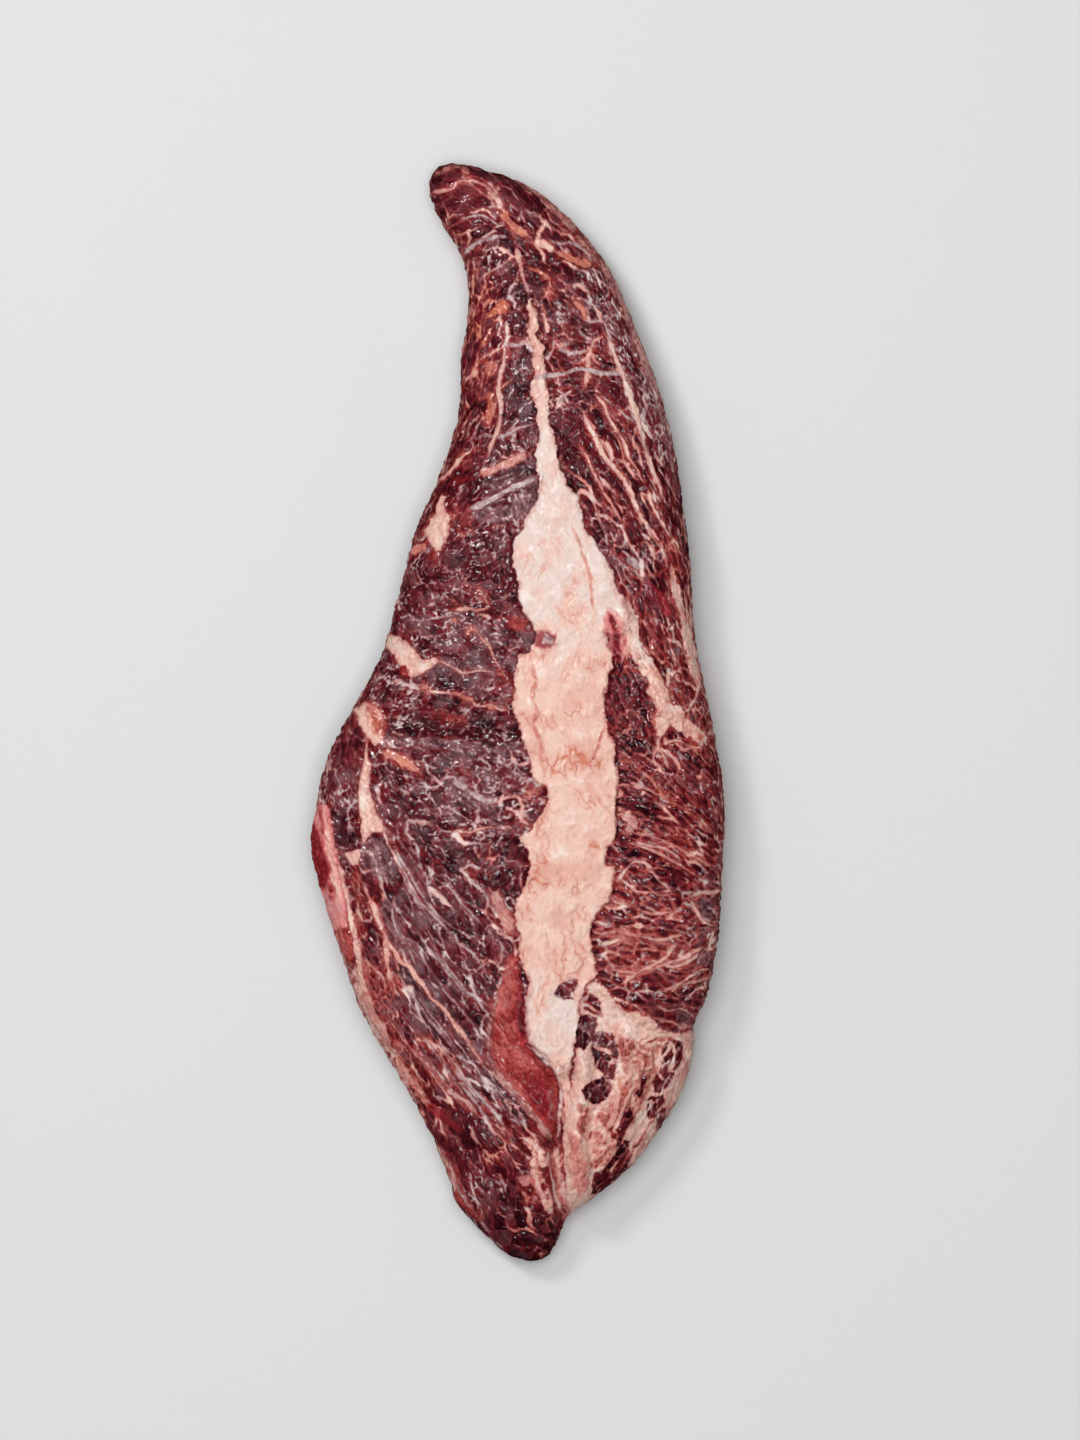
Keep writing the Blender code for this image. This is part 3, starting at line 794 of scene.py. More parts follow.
class Bundles:
    """Cells packed side by side over the rolled-out skin, each stretched along the grain where it lies."""

    # Sizes in mm of the long and short waves in a border, and how high the short ones are beside the long
    LONG_WAVE = 5.0
    SHORT_WAVE = 1.7
    SHORT_SHARE = 0.45
    # Cells drawn for each one that fits, and the places that a cell needs before its centre is moved
    PLENTY = 1.15
    FEWEST = 3
    # Range of the cells' sizes, and how far their directions stray in radians
    SIZES = (0.85, 1.2)
    STRAY = 0.10
    # How many of its own sizes a cell reaches, and a margin in mm
    REACH = 1.7
    MARGIN = 1.5
    # A squared distance beyond every cell, and how near three cells' distances are where they meet
    NOWHERE = 1e9
    MEETING = 0.5
    # Least slope and greatest distance in mm when the distance to a border is worked out
    LEAST_SLOPE = 1e-3
    WIDEST = 20.0

    def __init__(self, sheet: Sheet, grain: GrainField, weave: Weave) -> None:
        """Packs the cells.

        Args:
            sheet: the places to work out.
            grain: the lean's grain.
            weave: how the cells are packed.
        """
        self.sheet = sheet
        self.weave = weave
        self.random = np.random.default_rng(weave.seed)
        self.x, self.y = sheet.places()
        self.wavy_x = self.x + weave.wobble * self.waves(weave.seed + 1)
        self.wavy_y = self.y + weave.wobble * self.waves(weave.seed + 3)
        centres = self.scatter(grain)
        for _ in range(weave.passes):
            self.pack(centres, grain)
            owner = self.owner.ravel()
            held = np.maximum(np.bincount(owner, minlength=len(centres)), 1)
            middle_x = np.bincount(owner, self.wavy_x.ravel(), len(centres)) / held
            middle_y = np.bincount(owner, self.wavy_y.ravel(), len(centres)) / held
            centres = np.where((held > self.FEWEST)[:, None], np.stack([middle_x, middle_y], 1), centres)
        self.pack(centres, grain)

    def waves(self, seed: int) -> Array:
        """Long waves with short ones on them, drawn from a seed and the next."""
        long_waves = Ripple(seed)(self.x, self.y, self.LONG_WAVE)
        return long_waves + self.SHORT_SHARE * Ripple(seed + 1)(self.x, self.y, self.SHORT_WAVE)

    def scatter(self, grain: GrainField) -> Array:
        """Draws the cells' centres in mm, as many to an area as cells of the grain's size fit there."""
        x, y = grain.sheet.places()
        pitch = grain.sheet.step
        scale = self.weave.scale
        at = grain.read(x, y)
        expected = pitch * pitch / (at["long"] * at["wide"] * scale[0] * scale[1]) * self.PLENTY
        expected = expected * ((np.abs(x) < self.sheet.reach_x) & (np.abs(y) < self.sheet.reach_y))
        count = int(expected.sum())
        picks = self.random.choice(x.size, count, p=(expected / expected.sum()).ravel())
        jitter = (self.random.random((count, 2)) - 0.5) * pitch
        return np.stack([x.ravel()[picks], y.ravel()[picks]], 1) + jitter

    def pack(self, centres: Array, grain: GrainField) -> None:
        """Gives each place the cell with the nearest centre and the next nearest, and how near three meet.

        A distance is sqrt((along / long)^2 + (across / wide)^2) in the cell's own directions.

        Args:
            centres: x and y of each cell's centre, in mm.
            grain: the lean's grain.
        """
        scale = self.weave.scale
        at = grain.read(centres[:, 0], centres[:, 1])
        size = self.random.uniform(*self.SIZES, len(centres))
        turn = at["angle"] + self.random.normal(0.0, self.STRAY, len(centres))
        self.cos, self.sin = np.cos(turn).astype(np.float32), np.sin(turn).astype(np.float32)
        self.long = (at["long"] * scale[0] * size).astype(np.float32)
        self.wide = (at["wide"] * scale[1] * size).astype(np.float32)
        self.centres = centres.astype(np.float32)
        shape = self.x.shape
        nearest, second, third = (np.full(shape, self.NOWHERE, np.float32) for _ in range(3))
        self.owner = np.zeros(shape, np.int32)
        self.rival = np.zeros(shape, np.int32)
        reach_x = self.REACH * np.hypot(self.long * self.cos, self.wide * self.sin) + self.MARGIN
        reach_y = self.REACH * np.hypot(self.long * self.sin, self.wide * self.cos) + self.MARGIN
        for k, (cx, cy) in enumerate(self.centres):
            spot = self.sheet.window((cx - reach_x[k], cx + reach_x[k]), (cy - reach_y[k], cy + reach_y[k]))
            dx = self.wavy_x[spot] - cx
            dy = self.wavy_y[spot] - cy
            u = (dx * self.cos[k] + dy * self.sin[k]) / self.long[k]
            v = (dy * self.cos[k] - dx * self.sin[k]) / self.wide[k]
            away = u * u + v * v
            first, next_one = nearest[spot], second[spot]
            closer = away < first
            between = ~closer & (away < next_one)
            third[spot] = np.where(closer | between, next_one, np.minimum(third[spot], away))
            self.rival[spot] = np.where(closer, self.owner[spot], np.where(between, k, self.rival[spot]))
            second[spot] = np.where(closer, first, np.where(between, away, next_one))
            self.owner[spot] = np.where(closer, k, self.owner[spot])
            nearest[spot] = np.where(closer, away, first)
        self.lead = second - nearest
        self.crowd = np.exp(-(((third - nearest) / self.MEETING) ** 2))

    def local(self, cells: Array) -> tuple[Array, Array]:
        """Each place's offset from the centres of the given cells, along and across the cells, in mm."""
        dx = self.wavy_x - self.centres[cells, 0]
        dy = self.wavy_y - self.centres[cells, 1]
        cos, sin = self.cos[cells], self.sin[cells]
        return dx * cos + dy * sin, dy * cos - dx * sin

    def gap(self) -> Array:
        """Distance in mm from each place to the nearest border of its cell.

        It is the rival's squared distance less the owner's, over the length of that difference's slope.
        """
        slope = []
        for cells in (self.rival, self.owner):
            u, v = self.local(cells)
            along, across = 2 * u / self.long[cells] ** 2, 2 * v / self.wide[cells] ** 2
            cos, sin = self.cos[cells], self.sin[cells]
            slope.append((along * cos - across * sin, along * sin + across * cos))
        steep = np.hypot(slope[0][0] - slope[1][0], slope[0][1] - slope[1][1])
        return np.clip(self.lead / np.maximum(steep, self.LEAST_SLOPE), 0.0, self.WIDEST)

    def border_chance(self) -> Array:
        """A random share for each border between two cells, the same on both of its sides."""
        low = np.minimum(self.owner, self.rival).astype(np.float64)
        high = np.maximum(self.owner, self.rival).astype(np.float64)
        mixed = np.sin(low * 12.9898 + high * 78.233) * 43758.5453
        return (mixed - np.floor(mixed)).astype(np.float32)

    def cell_chance(self) -> Array:
        """A random share for each cell."""
        return self.random.random(len(self.centres)).astype(np.float32)[self.owner]


@dataclass
class Marbling:
    """The lean's own pattern over the rolled-out skin: fat between the bundles, their tone, film and height.

    The sizes are in mm: wall_edge is how soft the edge of the fat between two bundles is, wall_blur and
    height_blur round off fat and relief, and halo is how far fat makes the lean beside it paler.
    """

    grain: GrainField
    sheet: Sheet = field(default_factory=lambda: Sheet(104.0, 182.0, 0.22))
    wall_edge: float = 0.35
    wall_blur: float = 0.17
    height_blur: float = 0.18
    halo: float = 0.8

    CHANNELS = ("fat", "warm", "film", "tone", "blush", "height")

    def __post_init__(self) -> None:
        """Works out the pattern and keeps it as one array of channels."""
        x, y = self.sheet.places()
        at = self.grain.read(x, y)
        coarse, fine, thin = (Bundles(self.sheet, self.grain, weave) for weave in (COARSE, FINE, THIN))
        log.info("packed %d, %d and %d bundles", len(coarse.centres), len(fine.centres), len(thin.centres))

        # Fat between the bundles of each order, as thick as the grain, the border and a wave say
        chance_coarse, chance_fine = coarse.border_chance(), fine.border_chance()
        cell_coarse, cell_fine, cell_thin = coarse.cell_chance(), fine.cell_chance(), thin.cell_chance()
        gap_coarse, gap_fine, gap_thin = coarse.gap(), fine.gap(), thin.gap()
        thick_coarse = at["net"] * (0.26 + 0.80 * chance_coarse**1.4) * (0.85 + 0.8 * Ripple(31)(x, y, 6.0))
        thick_fine = at["net"] * (0.14 + 0.80 * chance_fine**2) * (0.85 + 0.7 * Ripple(33)(x, y, 4.0))
        thick_thin = at["curl"] * smooth_step(3.0 * thin.border_chance() - 1.6)
        thick_thin = thick_thin * (0.9 + 0.7 * Ripple(35)(x, y, 5.0))
        wide_walls = self.walls(coarse, gap_coarse, thick_coarse)
        walls = self.walls(fine, gap_fine, thick_fine)
        threads = 0.95 * self.walls(thin, gap_thin, thick_thin)
        fat = 1.0 - (1.0 - wide_walls) * (1.0 - walls) * (1.0 - threads)
        halo = self.sheet.blur(fat, self.halo)
        core = smooth_step(gap_fine / 1.05)

        # Film in patches, and tone from the cells, the fibres within them and the fat beside them.
        # Painted shade darkens the crevices between bundles where no fat lies.
        u, v = fine.local(fine.owner)
        shift = fine.owner * 7.3
        fibre = Ripple(41)(u + shift, v * 3.0 + shift, 2.2)
        patchy = Ripple(46)(x, y, 5.5) + 0.5 * Ripple(47)(x, y, 2.2)
        film = np.clip(at["film"] * (0.5 + 0.8 * patchy) + 0.30 * (cell_fine - 0.75), 0.0, 1.0)
        tone = (
            at["tone"] - 0.10
            + 0.32 * (cell_fine - 0.5)
            + 0.16 * (cell_coarse - 0.5)
            + 0.16 * (cell_thin - 0.5)
            + 0.22 * fibre
            + 0.12 * Ripple(49)(x, y, 9.0)
            + 0.08 * Ripple(50)(x, y, 0.9)
            + (0.02 + 0.8 * at["glow"]) * (1.0 - core)
            + 0.30 * halo
            - 0.06 * core
            # Painted shade: darker in the narrow crevices along the bundles' borders where no fat lies
            - 0.22 * np.exp(-((gap_fine / 0.28) ** 2)) * (1.0 - smooth_step(fat / 0.25))
        )

        # Red towards the borders and the fat, and fat that is warmer in some places than in others
        blush = at["blush"] + 0.8 * halo + 0.9 * at["glow"] * (1.0 - core) + 0.30 * (cell_coarse - 0.5)
        blush += 0.35 * Ripple(51)(x, y, 8.0) - 0.35 * film
        warm = at["warm"] - 0.04 + 0.22 * Ripple(48)(x, y, 6.0) + 0.22 * (chance_coarse - 0.5)
        warm -= 0.5 * threads / np.maximum(fat, 0.05)

        # Relief in mm: each bundle of each order swells away from its borders
        height = (
            0.40 * (1.0 - np.exp(-((gap_fine / 0.85) ** 2)))
            + 0.50 * (1.0 - np.exp(-((gap_coarse / 1.8) ** 2)))
            + 0.10 * (1.0 - np.exp(-((gap_thin / 0.45) ** 2)))
            + 0.12 * fat
            + 0.07 * fibre
            - 0.60
        )
        height = self.sheet.blur(height, self.height_blur)
        channels = (fat, np.clip(warm, 0, 1), film, np.clip(tone, 0, 1), np.clip(blush, 0, 1), height)
        self.values = np.stack(channels, axis=2).astype(np.float32)

    def walls(self, bundles: Bundles, gap: Array, thick: Array) -> Array:
        """The fat between bundles: wider where it is thick, and it fills the corners where three meet.

        Args:
            bundles: the bundles.
            gap: each place's distance from the nearest border, in mm.
            thick: how thick the fat is there, from 0.

        Returns:
            How much fat lies at each place, from 0 to 1.
        """
        least, most = bundles.weave.least, bundles.weave.most
        thick = np.clip(thick, 0.0, 1.6)
        half = least + (most - least) * thick * (1.0 + 0.8 * bundles.crowd)
        wall = np.clip(thick * (0.75 + 0.5 * bundles.crowd), 0.0, 0.95)
        wall = wall * smooth_step(0.5 + (half - gap) / self.wall_edge)
        return np.clip(self.sheet.blur(wall, self.wall_blur), 0.0, 1.0)

    def read(self, rolled: Array) -> dict[str, Array]:
        """Every channel at places on the rolled-out skin."""
        values = self.sheet.read(self.values, rolled[..., 0], rolled[..., 1])
        return {name: values[..., k].copy() for k, name in enumerate(self.CHANNELS)}


class Tissue(Enum):
    """What a stroke or an area is made of.

    The values are fat, warmth, film, tone, blush, blood and lift in mm. None leaves what is there.
    """

    CREAM = (0.86, 0.40, 0.0, None, None, 0.0, 0.28)
    PINK = (0.76, 0.52, 0.0, None, None, 0.0, 0.20)
    SALMON = (0.62, 0.62, 0.0, None, None, 0.1, 0.15)
    ORANGE = (0.72, 0.95, 0.0, None, None, 0.0, 0.20)
    # Pale fat and membrane; laid as thin lines on wet rims it is a painted glint
    WHITE = (0.98, 0.15, 0.0, None, None, 0.0, 0.18)
    SILVER = (0.64, 0.04, 0.7, None, None, 0.0, 0.16)
    RIND = (0.50, 0.36, 0.8, None, None, 0.0, 0.05)
    TAN = (0.60, 0.30, 0.3, None, None, 0.0, 0.10)
    ROSE = (0.82, 0.36, 0.0, None, None, 0.62, 0.15)
    FILM = (None, None, 0.95, None, 0.2, None, 0.04)
    SOOT = (None, None, 0.55, 0.10, 0.0, None, -0.05)
    CRIMSON = (0.0, None, 0.0, 0.74, 0.55, 0.80, 0.10)
    BRICK = (0.0, None, 0.0, 0.77, 0.95, 0.30, 0.20)
    LEAN = (None, None, None, None, None, 0.0, -0.10)
    # Painted shade: darkens grooves, clefts and borders where shade falls, and sinks them a little
    DARK = (None, None, 0.0, 0.05, 0.40, None, -0.35)
    CREASE = (0.66, 0.80, 0.0, None, None, 0.0, -0.10)
    TAWNY = (0.54, 0.58, 0.0, None, None, 0.0, -0.02)
    # Dark lines of tissue in grooves; one is laid as a painted shadow line
    VEIN = (0.36, 0.60, 0.0, 0.40, 0.8, 0.1, -0.25)

    @property
    def fat(self) -> float | None:
        """How much fat the tissue shows."""
        return self.value[0]


@dataclass(frozen=True)
class Stroke:
    """A line of tissue: how wide it is in mm, where it runs, how solid it is and how soft its edge in mm."""

    tissue: Tissue
    width: float
    path: Path
    solid: float = 1.0
    soft: float = 0.9


@dataclass(frozen=True)
class Area:
    """A patch of tissue: its outline, how solid and how ragged it is, and how soft its edge in mm."""

    tissue: Tissue
    outline: Path
    solid: float = 1.0
    ragged: float = 0.6
    soft: float = 0.8


(
    CREAM, PINK, SALMON, ORANGE, WHITE, SILVER, RIND, TAN, ROSE,
    FILM, SOOT, CRIMSON, BRICK, LEAN, DARK, CREASE, TAWNY, VEIN,
) = Tissue

# The seam's outline runs down its left side and back up its right
SEAM_LEFT = (
    2.5, 127, 2.5, 125, 3, 119, 2.3, 116, 4.3, 110, 5, 104, 3, 98, 5, 95, 5.5, 90, 6, 85, 5, 80, 5.5, 75,
    6.5, 72, 5.8, 65, 4.5, 63, 2.5, 60, 1.5, 57, -0.5, 54, -1.5, 50, -1.5, 45, -0.5, 42, 0, 38, 0, 34,
    1, 31, 2.5, 28.5, 4.5, 26.5, 5, 24.5, 4.5, 21, 4, 18.5, 0, 18, -1, 12, -1.5, 5, -1.5, 0, 0, -5,
    1.7, -10.7, 2.6, -14, 3.4, -17, 4.4, -21, 6.6, -22.6, 8.4, -23.4, 9, -25.7, 8.6, -28.3, 7.2, -31.6,
    4.3, -34.3, 2.6, -37, -0.2, -38.6, 0.2, -40.4, 3, -42, 3.2, -46, 3.6, -49, 2.6, -52, 1.3, -54, 0.2, -57,
    -1.2, -60, -1, -64, 0, -68, 0, -75, 1.6, -79.5, 3.2, -81.6, 3.4, -84, 2.4, -86, 1.2, -91, 1.2, -97,
    2, -102, 5, -104.6, 8.4, -108, 11.6, -112, 13, -118, 13.8, -124,
)
SEAM_RIGHT = (
    14.6, -124, 15.2, -118, 15.8, -112, 17.2, -106, 18.6, -99, 19.8, -94, 19.4, -89, 20.6, -85, 22.4, -82,
    25, -80, 24, -78, 23, -71, 22, -68, 23, -65, 24.5, -62, 26, -60, 28.6, -58, 29.2, -54.6, 30.1, -51,
    29.8, -47.4, 26.8, -46.4, 27.3, -43.6, 27.2, -41.6, 29, -42, 29.8, -40.4, 30.4, -36, 30.8, -31,
    30.7, -26, 31.2, -22, 30.8, -17, 30.2, -12, 29.6, -8.6, 27.6, -5, 27.2, 0, 27, 5, 28, 10, 29, 13,
    29.5, 17, 28.5, 20, 27, 24, 31, 23, 34, 25, 33.5, 31, 32.5, 35, 31, 37, 30, 40, 29.5, 43, 27.5, 46,
    24, 52, 21.5, 55, 20, 58, 19.5, 62, 18.5, 66, 15.5, 70, 13.5, 75, 12.3, 80, 11.5, 85, 10, 90, 9.8, 95,
    9.2, 101, 8.5, 107, 8, 113, 6, 116, 7.2, 119, 7, 122, 4.5, 125, 4.5, 127,
)
SEAM = SEAM_LEFT + SEAM_RIGHT

# Rows for Area, each painted over those above it
AREAS = (
    # Films on the left
    (FILM, (-12, 56, 5, 62, 6, 70, -2, 68, -14, 62), 0.8, 1.2),
    (FILM, (-8, 76, 4, 79, 6, 73, -4, 69, -12, 69), 0.7, 1.2),
    (FILM, (-35, 29, -26, 32, -12, 30, -5, 22, -3, 12, -20, 9, -34, 14, -33, 22), 0.45, 1.6),
    # Fatty lobe, its stains and the strip that joins it to the seam
    (CREAM, (9, -107, 12, -114, 13, -122, 14, -134, 14.5, -142, 15, -150, 16, -155, 18, -153.5,
        22, -151, 22, -142, 20.5, -132, 18, -126, 17, -118, 15.5, -112, 16.4, -106), 1, 0.7),
    (CREAM, (20.4, -86, 22.4, -82.6, 25.5, -82.5, 28, -86, 30, -89, 33, -92, 38, -93, 41, -93.5,
        43.5, -97, 47, -98.5, 50, -98.5, 53, -98, 56, -100, 55, -106, 53, -113, 51, -119, 47, -125.5,
        43, -131, 39, -136, 35, -141, 31, -145.5, 26, -149.5, 22, -152, 18, -155, 15, -156, 14.5, -150,
        13.5, -130, 15.4, -118, 16.6, -112, 18.4, -104, 20, -96, 19.4, -90), 1, 1.2),
    (TAWNY, (32, -100, 37, -101.6, 41, -103, 45, -102.4, 45, -106, 42, -112, 40, -119, 36, -126,
        32, -132, 27, -140, 22, -141, 21, -132, 24, -124, 31, -118, 34, -110), 0.8, 1.6),
    (TAWNY, (19, -120, 22, -121, 23, -127, 21, -133, 18, -127), 0.55, 1.4),
    (SALMON, (15.5, -129, 19, -130, 21, -137, 21.6, -146, 18.6, -150, 16.4, -142), 0.96, 0.8, 2.4),
    (TAWNY, (28.6, -97, 32, -99.6, 34.6, -108, 33, -113, 31.6, -106), 0.7, 0.8),
    (TAN, (44, -118, 52, -108, 54, -112, 50, -121, 42, -131, 36, -137, 35, -134, 40, -127), 0.6, 1.6),
    # Lean that shows at the seam's end and in the lobe
    (LEAN, (11.4, -86, 13, -83, 16, -81.2, 18.6, -82, 18, -84.6, 17.4, -88, 14, -88.4), 1, 1),
    (LEAN, (19.4, -88, 21.5, -84.6, 24, -86, 25.4, -90, 26, -93.4, 23, -92.6, 20.4, -91), 1, 0.9),
    (LEAN, (18.6, -95, 21, -92.6, 24, -93.6, 24.6, -96, 22.8, -100, 20.6, -104, 18.6, -103, 17.8, -99),
        1, 0.8),
    (LEAN, (22.8, -99, 26, -97.6, 29.2, -98.6, 30.6, -103, 30.6, -108, 29.4, -112.6, 27, -113, 24, -109,
        22.4, -104), 1, 1.2),
    (LEAN, (22.4, -113.4, 25.6, -112, 28.8, -114, 28, -118.6, 24, -120.4, 20.6, -119.4, 19.4, -116), 1,
        1.2),
    (LEAN, (45, -102, 47, -100.8, 51.2, -102, 50.8, -105, 50.2, -108, 48.2, -112, 46.2, -115.4,
        44, -117.2, 41.8, -117, 41.4, -114, 42.4, -111, 43.8, -107, 44.4, -104), 1, 0.8),
    (LEAN, (40, -119, 42, -118.2, 45, -118, 45.4, -121, 46, -124, 44, -129.4, 42.8, -129, 42.6, -125.4,
        40.4, -125.4, 39.4, -122), 1, 0.8),
    (LEAN, (38.4, -110.6, 39.8, -112, 38.8, -116, 36.2, -120, 34.6, -122.4, 33.8, -121.4, 35.8, -118,
        37.4, -115), 1, 0.4),
    (LEAN, (34.6, -122, 36, -124, 34.4, -126.6, 33, -129.6, 31.6, -132.6, 28.4, -131, 28.8, -127.4,
        30.8, -124)),
    (LEAN, (30.4, -132.4, 33, -131.4, 35.2, -132.6, 34.2, -134.6, 35.4, -136.6, 34.2, -139, 35, -141.6,
        31, -145, 27.4, -145, 26, -141.6, 28.4, -138, 30.4, -135.6), 1, 0.8),
    (LEAN, (24, -142, 27, -141, 29.2, -144, 28.8, -147.4, 26, -149.8, 22.8, -149, 23, -145)),
    # Patches of fat on the left, the branch's fork and the upper edge
    (CREAM, (-40.3, 24, -37, 23.5, -34, 21.5, -31, 18, -29, 16, -25, 16.8, -23.5, 15, -27, 13,
        -30, 11.2, -33, 10.5, -36, 13, -38, 17, -41, 20), 1, 0.5),
    (CREAM, (41, 9, 44, 6, 47, 1.5, 50, -1, 55, -4, 59, -8, 57, -11, 52, -8, 47, -4, 44, -9, 42, -7,
        42.5, 1, 39.5, 6), 0.95, 0.9),
    (CREAM, (-23.5, 66.8, -22.6, 63, -21.4, 61.5, -20.7, 57.5, -21.8, 52.5, -23.4, 49.4, -25.4, 48.6,
        -27.2, 51.6, -29.2, 54.4, -27.6, 57.6, -25.6, 61.6, -24.6, 64.6), 1, 1.4, 1.2),
    (ORANGE, (-10.5, 120.5, -8, 124, -5, 127, -2.5, 125.5, -3.5, 122.5, -7, 121.5), 0.95, 0.7),
    # Lower left edge and tail
    (TAN, (-50.6, -78, -47.6, -80, -46.4, -88, -42.4, -96, -38, -104, -33.6, -112, -31, -119,
        -34.6, -117.4, -41, -107, -46, -98, -50, -88, -52.4, -82), 0.8, 1.4, 1.6),
    (SALMON, (-37, -106, -32.6, -111, -28.4, -118, -25, -123, -29, -122, -34, -115, -38.6, -109), 0.8, 1),
    (CREAM, (0, -130.4, 4, -131, 7, -133, 9.6, -136, 9.8, -140, 8.6, -143, 9.6, -146, 11, -150,
        11.8, -155, 9, -154.2, 7, -151, 5, -146, 3.4, -142, 4, -137, 2.4, -132.6), 0.8, 1.4),
    (ROSE, (0, -143, 3, -142.4, 6, -144, 8, -148, 7.6, -152, 5, -153, 2.4, -150, 0.4, -147), 0.45, 0.8,
        1.6),
    (TAN, (9.6, -133, 12.4, -134, 13.4, -141, 14.6, -148, 16.4, -155, 14, -157, 12.4, -150, 11, -142),
        0.85, 1),
    # Red strip beside the seam
    (BRICK, (-3.4, -75, -0.4, -74.6, 1, -79, 1.2, -85, 1.5, -92, 2, -99, 3.4, -103.6, 7.2, -107.2,
        11, -112.4, 12.6, -117, 12.6, -124, 12, -130, 8, -127.4, 3.6, -121.4, -2, -115, -6.6, -109,
        -8.2, -104, -8, -97, -7, -90, -5.2, -84), 1, 1.7, 2),
    (CRIMSON, (3, -115, 7, -112, 11, -114, 12.6, -121, 12, -129, 7, -126, 4, -121), 1, 1.4, 6),
    (CRIMSON, (-0.6, -84, 2, -82, 2.4, -98, 4, -105, 0.6, -103, -1, -94), 1, 1.4, 4),
    (ROSE, (-5, -97, -1, -96, 3, -104, 5, -109, 0, -110, -4, -105), 0.3, 1, 5),
    # Left edge: the cut pink band, and the fat and film beside it
    (CREAM, (-51, 1, -47, 3.4, -42, 1, -40.6, -4, -41.4, -9.6, -43.8, -11, -46.4, -8, -49, -4), 0.96,
        1.3, 1.6),
    (ROSE, (-61.6, -28, -58.8, -28.5, -57.2, -33, -56.6, -38, -55.2, -43.5, -54, -49, -53.2, -55,
        -52.6, -60.5, -52.5, -65, -53, -68, -54.4, -72, -56, -70, -58, -68, -61, -62, -63, -55, -65, -48,
        -67, -42, -67, -36, -65, -31), 1, 0.3, 0.7),
    (CRIMSON, (-66, -32, -62, -35, -60.6, -40, -59.6, -44, -58.2, -48, -58.2, -52, -59.8, -54.8,
        -63.6, -52, -68, -43, -68, -37), 0.96, 1.1, 2.6),
    (CRIMSON, (-58, -52.6, -56.4, -54, -56.8, -58, -58, -57), 0.6, 0.5, 2),
    (BRICK, (-57.6, -68, -53, -66.4, -50.6, -70, -50.2, -75, -52, -77, -54.6, -73), 1, 0.8, 1.6),
    (CREAM, (-46.9, -9, -46.1, -10, -46, -14.6, -45, -16, -45.4, -19, -45.6, -22, -44.8, -26,
        -43.6, -30, -42, -33.5, -40.6, -36.6, -42.4, -37.2, -44.6, -37.2, -46, -38.8, -47.6, -41,
        -48.4, -37, -48.2, -33, -49, -29, -49.2, -24, -48.4, -19, -47.4, -15), 1, 0.4),
    (CREAM, (-54, -43.2, -48.6, -42.2, -48.2, -44, -49.2, -47, -50.6, -47.4, -52.4, -45.4), 1, 0.4),
    (FILM, (-47.6, -41, -44, -38.6, -41, -38.4, -39, -42, -37, -46, -36.8, -50, -38.6, -53, -42, -51,
        -45.6, -50, -48, -47), 0.96, 0.8, 1.6),
    # Red spots beside the branch and the seam
    (CRIMSON, (38.5, 41, 41, 40, 45, 36, 47.5, 30, 46, 29, 42, 32, 39, 37), 1, 0.4),
    (BRICK, (-4, 32.5, -0.5, 33, 2.5, 29, 4, 26.5, 2.5, 24.5, -3, 24.5), 0.6, 0.5),
)

